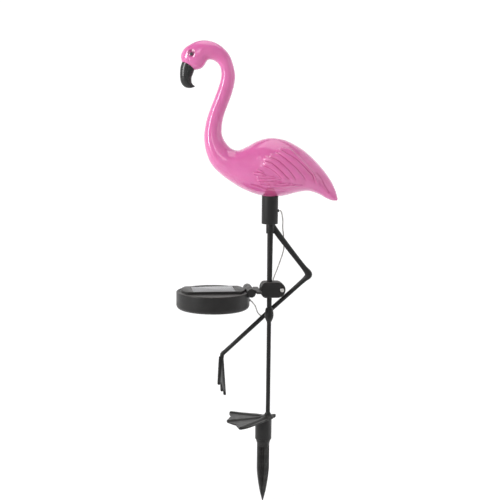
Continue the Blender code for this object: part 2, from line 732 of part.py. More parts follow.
def make_stake(material):
    top = -FERRULE_LENGTH - TOUCH_GAP
    spigot = STAKE_SPIGOT_DIAMETER / 2
    half = STAKE_WIDTH / 2
    stake = turned(
        "ground_stake",
        [
            (half * 0.80, top - STAKE_NECK_LENGTH - STAKE_CONE_DEPTH),
            (half * 0.97, top - STAKE_NECK_LENGTH - STAKE_CONE_DEPTH + STAKE_CONE_EDGE),
            (half, top - STAKE_NECK_LENGTH),
            (FERRULE_DIAMETER / 2 - STAKE_CONE_SETBACK, top),
            (spigot, top),
            (spigot, top + STAKE_SPIGOT_LENGTH - 2 * TOUCH_GAP),
        ],
        24,
        material,
        FERRULE_PLACE,
    )
    blade = STAKE_BLADE / 2
    length = STAKE_LENGTH - TOUCH_GAP
    rings = []
    for share in (BLADE_ROOT, STAKE_TAPER_START, 0.62, 0.82, 1.0):
        narrow = 1 - ease(share, STAKE_TAPER_START, STAKE_TAPER_RUN) * STAKE_TAPER_RATE
        reach = half * narrow if share < 1 else STAKE_TIP
        thick = min(blade, reach * BLADE_SLIMMING)
        corners = []
        for quarter in range(4):
            way = STAKE_TURN + quarter * math.pi / 2
            for ahead, off in ((thick, -thick), (reach, -thick), (reach, thick)):
                x = ahead * math.cos(way) - off * math.sin(way) + FERRULE_PLACE[0]
                y = ahead * math.sin(way) + off * math.cos(way) + FERRULE_PLACE[1]
                corners.append((x, y, top - length * share))
        rings.append(corners)
    join(stake, loft("blades", rings[::-1]))
    return stake


def make_raised_leg(material):
    # One moulding: a collar round the standing leg, the thigh, the knee, the shin that passes
    # behind the standing leg's knee cup, and a webbed foot that hangs from the ankle.
    thigh, shin, ankle = THIGH_DIAMETER / 2, SHIN_DIAMETER / 2, ANKLE_DIAMETER / 2
    collar_top = SOCKET_BOTTOM - TOUCH_GAP
    # Along X and up from the standing knee in shares of LEG_SPAN, and back in shares of the shin's
    # own way past the knee cup.
    route = (
        (0.0055, 0.24, 1.0018, thigh),
        (0.0532, 0.28, 0.9331, thigh),
        (0.1027, 0.36, 0.8643, thigh),
        (0.2035, 0.53, 0.7333, thigh * 0.93),
        (0.3162, 0.69, 0.5894, thigh * 0.89),
        (0.3776, 0.76, 0.5124, thigh * 0.94),
        (0.4198, 0.78, 0.4583, thigh * 1.06),
        (0.4207, 0.79, 0.4271, thigh * 1.04),
        (0.3804, 0.82, 0.3859, shin * 1.14),
        (0.3025, 0.85, 0.3126, shin * 1.02),
        (0.1457, 0.92, 0.1650, shin),
        (0.0000, 1.00, 0.0284, shin),
        (-0.1027, 1.04, -0.0715, shin),
        (-0.3025, 1.09, -0.2631, shin * 0.96),
        (-0.4583, 1.11, -0.4125, ankle),
        (-0.5060, 1.11, -0.4583, ankle * 1.06),
        (-0.5151, 1.11, -0.4950, ankle * 0.98),
        (-0.5188, 1.11, -0.5518, ankle * 0.84),
        (-0.5170, 1.11, -0.6068, ankle * 0.80),
    )
    behind = KNEE_DIAMETER / 2 + shin + SHIN_CLEARANCE
    route = np.array(route) * (LEG_SPAN, behind, LEG_SPAN, 1) + (0, 0, KNEE_HEIGHT, 0)
    rows = smooth_path(route, 37)
    limb = tube("raised_leg", rows[:, :3], rows[:, 3], RAISED_SIDES, material)
    collar = turned(
        "hip_collar",
        [
            (HIP_COLLAR_DIAMETER / 2 - HIP_COLLAR_EDGE, collar_top - HIP_COLLAR_HEIGHT),
            (HIP_COLLAR_DIAMETER / 2, collar_top - HIP_COLLAR_HEIGHT + HIP_COLLAR_EDGE),
            (HIP_COLLAR_DIAMETER / 2, collar_top + CUT_PAST / 2),
        ],
        20,
    )
    join(limb, collar)
    wide = HIP_COLLAR_DIAMETER
    above = slab("above_collar", rectangle(0, wide, wide), collar_top, collar_top + 2 * CUT_PAST)
    cut(limb, above)
    bore = turned(
        "collar_bore",
        [
            (UPPER_LEG_TOP_DIAMETER / 2 + SLIDE_GAP, collar_top - HIP_COLLAR_HEIGHT - CUT_PAST),
            (UPPER_LEG_TOP_DIAMETER / 2 + SLIDE_GAP, collar_top + CUT_PAST),
        ],
        LEG_SIDES,
    )
    cut(limb, bore)
    join(limb, hanging_foot(rows[-1, :3]))
    return limb


def hanging_foot(ankle_end):
    # A web that hangs from the ankle, edge on to the front, with three toes that thicken it.
    # Its outline is swept down from inside the ankle, and each toe is a rounded ridge on both
    # faces. The outer toes curl towards the beak's side, and the near one is shorter.
    start = ankle_end + (0, 0, ANKLE_DIAMETER)
    across = np.linspace(-1, 1, 13)
    rings = []
    for share in (0.0, 0.2, 0.45, 0.72, 0.9, 1.0):
        spread = RAISED_ANKLE_SPREAD + (RAISED_TOE_SPREAD - RAISED_ANKLE_SPREAD) * share**0.9
        toe = np.exp(-((across / RAISED_TOE_WIDTH) ** 2))
        toe += np.exp(-(((np.abs(across) - RAISED_TOE_PLACE) / RAISED_TOE_WIDTH) ** 2))
        web_end = 1 - WEB_CUT * (1 - toe) * (share > 0.7)
        web_end = web_end * (1 - NEAR_TOE_CUT * ease(-across, 0.3, 0.8))
        thick = RAISED_WEB_THICKNESS / 2 + RAISED_TOE_RELIEF * toe * (1 - 0.45 * share)
        side = spread * across
        curl = (side / RAISED_TOE_SPREAD) ** 2 * (1 - 0.2 * share)
        x = start[0] + RAISED_FOOT_LENGTH * (RAISED_FOOT_DRIFT * share - RAISED_FOOT_CURL * curl)
        y = start[1] + side
        z = start[2] - RAISED_FOOT_LENGTH * share * web_end
        front = np.stack([x - thick, y, z], axis=1)
        back = np.stack([x + thick, y, z], axis=1)[::-1]
        rings.append(np.vstack([front, back]))
    return loft("hanging_web", rings)


# Solar panel, built with the hinge axis parallel to Y and turned to its heading at the end


def make_panel_housing(material):
    radius, rounding = PANEL_RADIUS, PANEL_BASE_ROUNDING
    centre = (-PANEL_REACH, 0)
    profile = [(radius - rounding, PANEL_BOTTOM)]
    for degrees in (30, 60, 90):
        angle = math.radians(degrees)
        out = radius - rounding + rounding * math.sin(angle)
        profile.append((out, PANEL_BOTTOM + rounding * (1 - math.cos(angle))))
    profile += [(radius, PANEL_TOP - PANEL_EDGE), (radius - PANEL_EDGE, PANEL_TOP)]
    housing = turned("panel_housing", profile, PANEL_SIDES, material, centre)
    under = HINGE_HEIGHT - HINGE_RADIUS + LUG_WEB_SETBACK
    root = -HINGE_REACH - HINGE_RADIUS - LUG_WEB_REACH
    above = HINGE_HEIGHT - LUG_WEB_SETBACK
    for side in (-1, 1):
        start, end = sorted((side * HINGE_LENGTH / 2, side * (HINGE_LENGTH / 2 - LUG_WIDTH)))
        lug = barrel("lug", HINGE_RADIUS, start, end, 20, -HINGE_REACH, HINGE_HEIGHT)
        join(housing, lug)
        web = prism(
            "lug_web",
            [(root, under), (-HINGE_REACH, under), (-HINGE_REACH, above), (root, above)],
            start + LUG_WEB_SETBACK,
            end - LUG_WEB_SETBACK,
        )
        join(housing, web)
    floor = PANEL_TOP - PANEL_RECESS - TOP_PLATE_THICKNESS - TOUCH_GAP
    wall = radius - PANEL_RIM
    recess = turned("recess", [(wall, floor), (wall, PANEL_TOP)], PANEL_SIDES, None, centre)
    cut(housing, recess)
    middle = HINGE_LENGTH / 2 - LUG_WIDTH
    notch = barrel(
        "notch", HINGE_RADIUS + HINGE_CLEARANCE, -middle, middle, 20, -HINGE_REACH, HINGE_HEIGHT
    )
    cut(housing, notch)
    pin_bore = barrel(
        "pin_bore",
        PIN_DIAMETER / 2 + SLIDE_GAP,
        -middle - PIN_LENGTH - TOUCH_GAP,
        middle + PIN_LENGTH + TOUCH_GAP,
        14,
        -HINGE_REACH,
        HINGE_HEIGHT,
    )
    cut(housing, pin_bore)
    join(housing, loft("panel_gland", gland_rings(PANEL_GLAND_MOUTH, PANEL_GLAND_WAY)))
    return housing


def make_top_plate(material):
    # The framed plate in the recess, with a window for the cell.
    top = PANEL_TOP - PANEL_RECESS
    radius = PANEL_RADIUS - PANEL_RIM - TOUCH_GAP
    centre = (-PANEL_REACH, 0)
    profile = [(radius, top - TOP_PLATE_THICKNESS), (radius, top)]
    plate = turned("panel_top_plate", profile, PANEL_SIDES, material, centre)
    half_x = CELL_LENGTH / 2 + TOUCH_GAP
    half_y = CELL_WIDTH / 2 + TOUCH_GAP
    window = slab(
        "window",
        rectangle(-PANEL_REACH, half_x, half_y),
        top - CELL_THICKNESS + CELL_STAND - TOUCH_GAP,
        top + CUT_PAST,
    )
    cut(plate, window)
    return plate


def rectangle(x, half_x, half_y):
    return [(x - half_x, -half_y), (x + half_x, -half_y), (x + half_x, half_y), (x - half_x, half_y)]


def make_cell(material):
    top = PANEL_TOP - PANEL_RECESS + CELL_STAND
    outline = rectangle(-PANEL_REACH, CELL_LENGTH / 2, CELL_WIDTH / 2)
    return slab("solar_cell", outline, top - CELL_THICKNESS, top, material)


def clamp_outline():
    # A plate with a fully rounded right end and a left end with rounded corners.
    half = CLAMP_HEIGHT / 2
    right = CLAMP_OUTER_REACH - half
    points = []
    for degrees in np.linspace(-90, 90, 11):
        angle = math.radians(degrees)
        points.append((right + half * math.cos(angle), half * math.sin(angle)))
    flat = 0.8 * CLAMP_CORNER  # the left corners are a little flattened arcs
    left = -CLAMP_INNER_REACH + flat
    for sign in (1, -1):
        steps = np.linspace(90, 180, 5) if sign > 0 else np.linspace(180, 270, 5)
        for degrees in steps:
            angle = math.radians(degrees)
            x = left + flat * math.cos(angle)
            z = sign * (half - CLAMP_CORNER) + CLAMP_CORNER * math.sin(angle)
            points.append((x, z))
    return [(x, z + CLAMP_CENTRE_HEIGHT) for x, z in points]


def leg_cutter(name):
    radius = upper_leg_radius(CLAMP_TOP) + SLIDE_GAP
    profile = [(radius, CLAMP_BOTTOM - CUT_PAST), (radius, CLAMP_TOP + CUT_PAST)]
    return turned(name, profile, LEG_SIDES)


def make_clamp_bracket(material):
    # The back half of the clamp, the wide tongue and the middle barrel of the hinge.
    gap = CLAMP_SPLIT / 2
    bracket = prism("clamp_bracket", clamp_outline(), gap, CLAMP_HALF_DEPTH, material)
    wide = TONGUE_WIDTH / 2
    middle = HINGE_LENGTH / 2 - LUG_WIDTH - HINGE_SIDE_GAP
    shoulder = -HINGE_REACH + HINGE_RADIUS + TONGUE_NOTCH
    corner = -CLAMP_INNER_REACH - TONGUE_CORNER
    root = -CLAMP_INNER_REACH + TONGUE_ROOT
    back = CLAMP_HALF_DEPTH - TONGUE_SETBACK
    tongue = slab(
        "tongue",
        [
            (-HINGE_REACH, -middle),
            (shoulder, -middle),
            (shoulder, -wide),
            (corner, -wide),
            (corner, gap),
            (root, gap),
            (root, back),
            (corner, back),
            (corner, wide),
            (shoulder, wide),
            (shoulder, middle),
            (-HINGE_REACH, middle),
        ],
        HINGE_HEIGHT - TONGUE_THICKNESS / 2,
        HINGE_HEIGHT + TONGUE_THICKNESS / 2,
    )
    eye = barrel("eye", HINGE_RADIUS, -middle, middle, 20, -HINGE_REACH, HINGE_HEIGHT)
    join(eye, tongue)
    reach = HINGE_LENGTH / 2 - LUG_WIDTH + PIN_LENGTH
    pins = barrel("pins", PIN_DIAMETER / 2, -reach, reach, 14, -HINGE_REACH, HINGE_HEIGHT)
    join(eye, pins)
    join(bracket, eye)
    cut(bracket, leg_cutter("leg_groove"))
    tapped = barrel(
        "tapped_hole",
        SCREW_SHANK_DIAMETER / 2 + SLIDE_GAP,
        -CUT_PAST,
        SCREW_LENGTH - CLAMP_HALF_DEPTH + TOUCH_GAP,
        12,
        SCREW_REACH,
        CLAMP_CENTRE_HEIGHT,
    )
    cut(bracket, tapped)
    return bracket


def make_clamp_plate(material):
    gap = CLAMP_SPLIT / 2
    plate = prism("clamp_plate", clamp_outline(), -CLAMP_HALF_DEPTH, -gap, material)
    cut(plate, leg_cutter("leg_groove"))
    hole = barrel(
        "hole",
        SCREW_SHANK_DIAMETER / 2 + SLIDE_GAP,
        -CLAMP_HALF_DEPTH - CUT_PAST,
        CUT_PAST,
        12,
        SCREW_REACH,
        CLAMP_CENTRE_HEIGHT,
    )
    cut(plate, hole)
    sink = barrel(
        "sink",
        SCREW_HEAD_DIAMETER / 2 + SLIDE_GAP,
        -CLAMP_HALF_DEPTH - CUT_PAST,
        -CLAMP_HALF_DEPTH + SCREW_SINK,
        20,
        SCREW_REACH,
        CLAMP_CENTRE_HEIGHT,
    )
    cut(plate, sink)
    return plate


def make_screw(material):
    # A pan head with a cross slot, and its shank.
    seat = -CLAMP_HALF_DEPTH + SCREW_SINK - TOUCH_GAP
    face = seat - SCREW_HEAD_HEIGHT
    sides = 16
    angle = np.arange(sides) * 2 * math.pi / sides
    rings = []
    shank = SCREW_SHANK_DIAMETER / 2
    head = SCREW_HEAD_DIAMETER / 2
    profile = (
        (shank, -CLAMP_HALF_DEPTH + SCREW_LENGTH),
        (shank, seat),
        (head, seat),
        (head, face + SCREW_EDGE),
        (head * 0.80, face),
    )
    for radius, y in profile:
        x = SCREW_REACH + radius * np.cos(angle)
        z = CLAMP_CENTRE_HEIGHT + radius * np.sin(angle)
        rings.append(np.stack([x, np.full(sides, y), z], axis=1))
    screw = loft("clamp_screw", rings, material)
    for turn in (20, 110):
        way = math.radians(turn)
        reach, half = head * 0.58, SLOT_WIDTH / 2
        outline = []
        for ahead, off in ((-reach, -half), (reach, -half), (reach, half), (-reach, half)):
            x = SCREW_REACH + ahead * math.cos(way) - off * math.sin(way)
            z = CLAMP_CENTRE_HEIGHT + ahead * math.sin(way) + off * math.cos(way)
            outline.append((x, z))
        cut(screw, prism("slot", outline, face - CUT_PAST, face + SLOT_DEPTH))
    return screw


# Cable


def turned_about_leg(point):
    return tuple(Matrix.Rotation(PANEL_HEADING, 3, "Z") @ Vector(point))


def make_cables(material):
    # One cable in two nodes: the stretch held along the leg, and the loop that follows the panel.
    route = [*CABLE_ROUTE, *LOOP_ROUTE]
    route += [turned_about_leg(PANEL_GLAND_AHEAD), turned_about_leg(PANEL_GLAND_MOUTH)]
    steps = 1.8
    points = smooth_path(route, round(len(route) * steps))
    parting = round(len(CABLE_ROUTE) * steps)
    way = points[parting + 1] - points[parting - 1]
    way /= np.linalg.norm(way)
    meeting = points[parting]
    near, far = way * TOUCH_GAP / 2, way * CABLE_DIAMETER / 2
    held = [*points[:parting], meeting - far, meeting - near]
    loose = [meeting + near, meeting + far, *points[parting + 1 :]]
    make_cable("lamp_cable", held, material)
    make_cable("panel_cable", loose, material)


def make_cable(name, points, material):
    curve = bpy.data.curves.new(name, "CURVE")
    curve.dimensions = "3D"
    curve.bevel_depth = CABLE_DIAMETER / 2
    curve.bevel_resolution = 2
    curve.use_fill_caps = True
    spline = curve.splines.new("POLY")
    spline.points.add(len(points) - 1)
    for target, point in zip(spline.points, points):
        target.co = (*point, 1.0)
    curve.materials.append(material)
    cable = bpy.data.objects.new(name, curve)
    bpy.context.scene.collection.objects.link(cable)
    return cable


def main():
    clear_scene()
    pink = plastic("glossy_pink_plastic", (0.78, 0.20, 0.46), 0.12)
    beak_black = plastic("beak_black", (0.012, 0.012, 0.013), 0.35)
    leg_black = plastic("leg_black", (0.018, 0.018, 0.018), 0.38)
    socket_black = plastic("socket_black", (0.016, 0.016, 0.016), 0.45)
    panel_black = plastic("panel_black", (0.022, 0.021, 0.021), 0.42)
    plate_grey = plastic("panel_plate", (0.05, 0.05, 0.05), 0.35)
    cell_blue = plastic("cell", (0.02, 0.025, 0.05), 0.12)
    steel = plastic("screw_steel", (0.62, 0.62, 0.62), 0.28, 1.0)
    clear_pvc = plastic("cable_pvc", (0.62, 0.62, 0.60), 0.30)

    make_flamingo(pink)
    make_beak(beak_black)
    make_socket(socket_black)
    make_upper_leg(leg_black)
    make_lower_leg(leg_black)
    make_raised_leg(leg_black)
    make_stake(leg_black)
    clamp = [
        make_clamp_bracket(panel_black),
        make_clamp_plate(panel_black),
        make_screw(steel),
    ]
    panel = [
        make_panel_housing(panel_black),
        make_top_plate(plate_grey),
        make_cell(cell_blue),
    ]

    heading = bpy.data.objects.new("clamp_heading", None)
    hinge = bpy.data.objects.new("panel_hinge", None)
    for empty in (heading, hinge):
        bpy.context.scene.collection.objects.link(empty)
    heading.rotation_euler = (0, 0, PANEL_HEADING)
    hinge.parent = heading
    hinge.location = (-HINGE_REACH, 0, HINGE_HEIGHT)
    for obj in clamp:
        obj.parent = heading
    for obj in panel:
        obj.parent = hinge
        obj.location = tuple(-value for value in hinge.location)

    make_cables(clear_pvc)


main()
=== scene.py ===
# Solar flamingo garden light: the looks of every piece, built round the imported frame.
# Metres, +Z up. The flamingo looks along -X, and the origin is on the standing leg at the ground line.

import math

import bpy
import numpy as np
from mathutils import Matrix, Vector


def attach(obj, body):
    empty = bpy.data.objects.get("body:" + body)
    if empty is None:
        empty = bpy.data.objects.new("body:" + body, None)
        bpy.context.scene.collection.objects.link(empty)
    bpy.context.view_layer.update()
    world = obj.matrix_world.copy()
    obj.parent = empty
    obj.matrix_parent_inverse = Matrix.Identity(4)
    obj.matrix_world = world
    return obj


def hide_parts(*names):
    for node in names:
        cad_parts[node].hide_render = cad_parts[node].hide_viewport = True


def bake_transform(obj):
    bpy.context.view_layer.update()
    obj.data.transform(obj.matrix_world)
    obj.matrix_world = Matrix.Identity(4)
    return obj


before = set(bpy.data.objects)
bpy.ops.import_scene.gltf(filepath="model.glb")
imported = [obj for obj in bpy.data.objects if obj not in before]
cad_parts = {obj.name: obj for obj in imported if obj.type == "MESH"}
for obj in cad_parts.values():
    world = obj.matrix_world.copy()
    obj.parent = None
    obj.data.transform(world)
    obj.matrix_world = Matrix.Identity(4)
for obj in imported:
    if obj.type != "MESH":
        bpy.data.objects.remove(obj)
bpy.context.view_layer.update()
mm = 0.001
tau = 2 * math.pi
touchGap = 0.3 * mm  # between pieces that fit in each other
core = 0.5 * mm  # how far from its axis a turned profile starts and ends
sharpAngle = math.radians(38)  # edges sharper than this are shaded as edges


# Camera, where the photograph was taken from

camera = {
    "place": (-0.02349, -1.27, 0.37903),
    "lookDown": math.radians(7.85),
    "roll": math.radians(0.6),
    "lens": 78.34,
    "sensor": 36.0,
}


def makeCamera(values):
    data = bpy.data.cameras.new("studioCamera")
    data.lens = values["lens"]
    data.sensor_width = values["sensor"]
    data.clip_start, data.clip_end = 0.05, 20
    eye = bpy.data.objects.new("studioCamera", data)
    bpy.context.scene.collection.objects.link(eye)
    tilt = Matrix.Rotation(math.radians(90) - values["lookDown"], 4, "X")
    turn = Matrix.Rotation(values["roll"], 4, "Z")
    eye.matrix_world = Matrix.Translation(values["place"]) @ tilt @ turn
    bpy.context.scene.camera = eye
    print("camera ready")


# Surfaces. Each is a dictionary of points, faces and an edge value per point, which is 1 on a
# rounded edge and 0 on a flat or a wall. The edge value drives the wear in the materials, and on
# the black plastics also a painted highlight along the rounded edges.


def surfaceOf(rings, edge=None, capEnd=True, flip=False):
    # A skin over rings of points, in the order of the rings, with flat caps at its ends. Its quads
    # run between neighbouring rings.
    rings = np.asarray(rings, float)
    count, sides, _ = rings.shape
    index = np.arange(count * sides).reshape(count, sides)
    onward = np.roll(index, -1, axis=1)
    quads = np.stack([index[:-1], onward[:-1], onward[1:], index[1:]], axis=-1).reshape(-1, 4)
    caps = [list(range(sides))[::-1]]
    if capEnd:
        caps.append(list(range((count - 1) * sides, count * sides)))
    if flip:
        quads = quads[:, ::-1]
        caps = [cap[::-1] for cap in caps]
    edge = np.zeros(count) if edge is None else np.asarray(edge, float)
    return {"points": rings.reshape(-1, 3), "quads": quads, "caps": caps, "edge": np.repeat(edge, sides)}


def shadeSmooth(mesh):
    mesh.shade_smooth()
    mesh.set_sharp_from_angle(angle=sharpAngle)


def markPoints(mesh, name, values):
    # One number per point, which a material reads by its name.
    marked = mesh.attributes.new(name, "FLOAT", "POINT")
    marked.data.foreach_set("value", np.asarray(values, np.float32).reshape(-1))


def makePiece(name, surfaces, material=None):
    # One mesh object from one or more closed surfaces, at the origin.
    points = np.vstack([s["points"] for s in surfaces])
    starts = np.cumsum([0] + [len(s["points"]) for s in surfaces[:-1]])
    faces = []
    for start, surface in zip(starts, surfaces):
        faces += (surface["quads"] + start).tolist()
        faces += [[i + int(start) for i in cap] for cap in surface["caps"]]
    mesh = bpy.data.meshes.new(name)
    mesh.from_pydata(points.tolist(), [], faces)
    shadeSmooth(mesh)
    markPoints(mesh, "edge", np.concatenate([s["edge"] for s in surfaces]))
    if material:
        mesh.materials.append(material)
    mesh.update()
    piece = bpy.data.objects.new(name, mesh)
    bpy.context.scene.collection.objects.link(piece)
    return piece


def roundCorners(points, setback, steps=4, closed=False):
    # Each corner becomes a parabola that leaves the sides at the setback from the corner. The
    # setback may be one length or one per point, and 0 keeps the corner.
    points = np.asarray(points, float)
    count = len(points)
    setback = np.broadcast_to(np.asarray(setback, float), (count,))
    made, edge = [], []
    for i, (corner, back) in enumerate(zip(points, setback)):
        if back <= 0 or (not closed and i in (0, count - 1)):
            made.append(corner)
            edge.append(0.0)
            continue
        before, after = points[i - 1] - corner, points[(i + 1) % count] - corner
        start = corner + before * min(back / np.linalg.norm(before), 0.5)
        end = corner + after * min(back / np.linalg.norm(after), 0.5)
        for t in np.linspace(0, 1, steps + 1):
            made.append((1 - t) ** 2 * start + 2 * t * (1 - t) * corner + t * t * end)
            edge.append(math.sin(t * math.pi))
    return np.array(made), np.array(edge)


def turnedSurface(profile, sides, centre=(0.0, 0.0), edge=None):
    # Rings round an upright axis: (radius, height) pairs carried round a circle.
    profile = np.asarray(profile, float)
    angle = np.arange(sides) * tau / sides
    ring = np.stack([np.cos(angle), np.sin(angle)], axis=1)
    flat = profile[:, None, 0:1] * ring + np.array(centre)
    height = np.broadcast_to(profile[:, None, 1:2], (len(profile), sides, 1))
    return surfaceOf(np.concatenate([flat, height], axis=2), edge)


def outlineWays(outline):
    # The outward way at each point of a closed outline that runs anticlockwise, lengthened at
    # corners so that an inset keeps its distance from both sides.
    before = outline - np.roll(outline, 1, axis=0)
    after = np.roll(outline, -1, axis=0) - outline
    before = before / np.linalg.norm(before, axis=1, keepdims=True)
    after = after / np.linalg.norm(after, axis=1, keepdims=True)
    along = before + after
    along /= np.linalg.norm(along, axis=1, keepdims=True)
    ways = np.stack([along[:, 1], -along[:, 0]], axis=1)
    spread = np.clip(along[:, 0] * after[:, 0] + along[:, 1] * after[:, 1], 0.4, 1)
    return ways / spread[:, None]


def extrudedSurface(outline, start, end, axis, easing=0.0, steps=3):
    # An outline carried along one axis, with a quarter round of the given easing at both ends.
    outline = np.asarray(outline, float)
    area = np.sum(outline[:, 0] * np.roll(outline[:, 1], -1) - np.roll(outline[:, 0], -1) * outline[:, 1])
    if area < 0:
        outline = outline[::-1]
    ways = outlineWays(outline)
    turn = np.linspace(0, math.pi / 2, steps + 1) if easing else np.array([math.pi / 2])
    inset, depth = easing * (1 - np.sin(turn)), easing * (1 - np.cos(turn))
    inset = np.concatenate([inset, inset[::-1]])
    place = np.concatenate([start + depth, (end - depth)[::-1]])
    wornAndHighlighted = np.concatenate([np.sin(2 * turn), np.sin(2 * turn)[::-1]])
    rings = []
    for back, at in zip(inset, place):
        flat = outline - ways * back
        level = np.full(len(flat), at)
        if axis == "y":
            rings.append(np.stack([flat[:, 0], level, flat[:, 1]], axis=1))
        else:
            rings.append(np.stack([flat[:, 0], flat[:, 1], level], axis=1))
    return surfaceOf(rings, wornAndHighlighted, flip=axis == "y")


def pathFrames(path):
    # The way along a path, and two ways square to it that are carried on without twisting.
    path = np.asarray(path, float)
    along = np.gradient(path, axis=0)
    along /= np.linalg.norm(along, axis=1)[:, None]
    across = np.zeros_like(along)
    across[0] = np.cross(along[0], (0.0, 1.0, 0.0))
    across[0] /= np.linalg.norm(across[0])
    for i in range(1, len(path)):
        carried = across[i - 1] - along[i] * np.dot(across[i - 1], along[i])
        across[i] = carried / np.linalg.norm(carried)
    return along, across, np.cross(along, across)


def tubeSurface(path, radii, sides, roundEnds=False):
    # A circle carried along a path, square to it. Round ends shrink in a quarter circle.
    path = np.asarray(path, float)
    radii = np.broadcast_to(np.asarray(radii, float), (len(path),)).copy()
    along, across, other = pathFrames(path)
    angle = np.arange(sides) * tau / sides
    circle = np.cos(angle)[None, :, None] * across[:, None] + np.sin(angle)[None, :, None] * other[:, None]
    rings = path[:, None] + radii[:, None, None] * circle
    if roundEnds:
        turn = np.linspace(0.15, math.pi / 2, 5)[:-1]
        for end, sign in ((0, -1), (-1, 1)):
            tip, reach = path[end], radii[end]
            dome = [
                tip + sign * along[end] * reach * math.cos(t) + reach * math.sin(t) * circle[end]
                for t in turn
            ]
            rings = np.concatenate([dome, rings]) if end == 0 else np.concatenate([rings, dome[::-1]])
    return surfaceOf(rings)


def readPath(points, at):
    # The Catmull-Rom curve through the points, read at any places counted in points.
    points = np.asarray(points, float)
    padded = np.vstack([2 * points[0] - points[1], points, 2 * points[-1] - points[-2]])
    start = np.minimum(at.astype(int), len(points) - 2)
    t = (at - start)[:, None]
    p0, p1, p2, p3 = (padded[start + k] for k in range(4))
    return 0.5 * (
        2 * p1
        + (p2 - p0) * t
        + (2 * p0 - 5 * p1 + 4 * p2 - p3) * t**2
        + (3 * p1 - p0 - 3 * p2 + p3) * t**3
    )


def smoothPath(points, count):
    return readPath(points, np.linspace(0, len(points) - 1, count))


def ease(value, low, high):
    # 0 below low, 1 above high and a smooth step between them.
    t = np.clip((value - low) / (high - low), 0, 1)
    return t * t * (3 - 2 * t)


def turnedAbout(surface, angle):
    # The surface turned about the standing leg's axis.
    c, s = math.cos(angle), math.sin(angle)
    x, y = surface["points"][:, 0].copy(), surface["points"][:, 1].copy()
    surface["points"][:, 0], surface["points"][:, 1] = c * x - s * y, s * x + c * y
    return surface


# Shader node groups that several materials share


def fillInputs(tree, node, values):
    # A value that comes from another node is linked, and any other is set.
    for name, value in values.items():
        if hasattr(value, "links"):
            tree.links.new(value, node.inputs[name])
        else:
            node.inputs[name].default_value = value


def addNode(tree, kind, settings=None, inputs=None):
    node = tree.nodes.new(kind)
    for name, value in (settings or {}).items():
        setattr(node, name, value)
    fillInputs(tree, node, inputs or {})
    return node


def math2(tree, operation, a, b=0.0, clamp=False):
    return addNode(
        tree, "ShaderNodeMath", {"operation": operation, "use_clamp": clamp}, {0: a, 1: b}
    ).outputs[0]


def mixColour(tree, share, a, b):
    return addNode(tree, "ShaderNodeMix", {"data_type": "RGBA"}, {0: share, 6: a, 7: b}).outputs[2]


def mapRange(tree, value, low, high, toLow=0.0, toHigh=1.0, smooth=False):
    ends = {"Value": value, "From Min": low, "From Max": high, "To Min": toLow, "To Max": toHigh}
    kind = "SMOOTHSTEP" if smooth else "LINEAR"
    return addNode(tree, "ShaderNodeMapRange", {"interpolation_type": kind}, ends).outputs[0]


def noise(tree, place, scale, detail):
    return addNode(
        tree, "ShaderNodeTexNoise", {}, {"Vector": place, "Scale": scale, "Detail": detail}
    ).outputs["Fac"]


def split(tree, vector):
    return addNode(tree, "ShaderNodeSeparateXYZ", {}, {0: vector}).outputs


def attribute(tree, name):
    return addNode(tree, "ShaderNodeAttribute", {"attribute_name": name}).outputs["Fac"]


def newGroup(name, inputs, outputs):
    # A group whose inputs are vectors where None is given, and otherwise values with that default.
    group = bpy.data.node_groups.new(name, "ShaderNodeTree")
    for label, value in inputs.items():
        kind = "NodeSocketVector" if value is None else "NodeSocketFloat"
        socket = group.interface.new_socket(label, in_out="INPUT", socket_type=kind)
        if value is not None:
            socket.default_value = value
    for label in outputs:
        group.interface.new_socket(label, in_out="OUTPUT", socket_type="NodeSocketFloat")
    return group, group.nodes.new("NodeGroupInput").outputs, group.nodes.new("NodeGroupOutput").inputs


def makeGrainGroup():
    # The skin of a moulding: a fine sparked grain over slow ripples where the plastic flowed.
    inputs = {"Place": None, "Grain Size": 0.35, "Grain Depth": 0.5, "Ripple Size": 9.0, "Ripple Depth": 0.5}
    group, given, result = newGroup("mouldedGrain", inputs, ["Height", "Mottle"])
    grain = noise(group, given["Place"], math2(group, "DIVIDE", 1 / mm, given["Grain Size"]), 2.0)
    ripple = noise(group, given["Place"], math2(group, "DIVIDE", 1 / mm, given["Ripple Size"]), 1.0)
    fine = math2(group, "MULTIPLY", grain, given["Grain Depth"])
    slow = math2(group, "MULTIPLY", ripple, given["Ripple Depth"])
    group.links.new(math2(group, "ADD", fine, slow), result["Height"])
    group.links.new(ripple, result["Mottle"])
    return group


def makeWearAndHighlightGroup():
    # Rounded edges that handling has rubbed: the piece's edge value, broken up by a noise. The black
    # plastics also lighten them as a painted highlight.
    group, given, result = newGroup("edgeWearAndHighlight", {"Place": None, "Patch Size": 3.0, "Amount": 0.5}, ["Mask"])
    patch = noise(group, given["Place"], math2(group, "DIVIDE", 1 / mm, given["Patch Size"]), 3.0)
    broken = mapRange(group, patch, 0.38, 0.66, smooth=True)
    mask = math2(group, "MULTIPLY", attribute(group, "edge"), broken)
    group.links.new(math2(group, "MULTIPLY", mask, given["Amount"], True), result["Mask"])
    return group


def makeDustGroup():
    # Fine dust on what faces up, in soft patches.
    group, given, result = newGroup("settledDust", {"Place": None, "Facing": None, "Amount": 0.3}, ["Mask"])
    level = mapRange(group, split(group, given["Facing"])["Z"], 0.35, 0.95, smooth=True)
    patch, speck = noise(group, given["Place"], 130.0, 5.0), noise(group, given["Place"], 2600.0, 1.0)
    mask = math2(group, "MULTIPLY", level, math2(group, "MULTIPLY", patch, speck))
    group.links.new(math2(group, "MULTIPLY", mask, given["Amount"], True), result["Mask"])
    return group


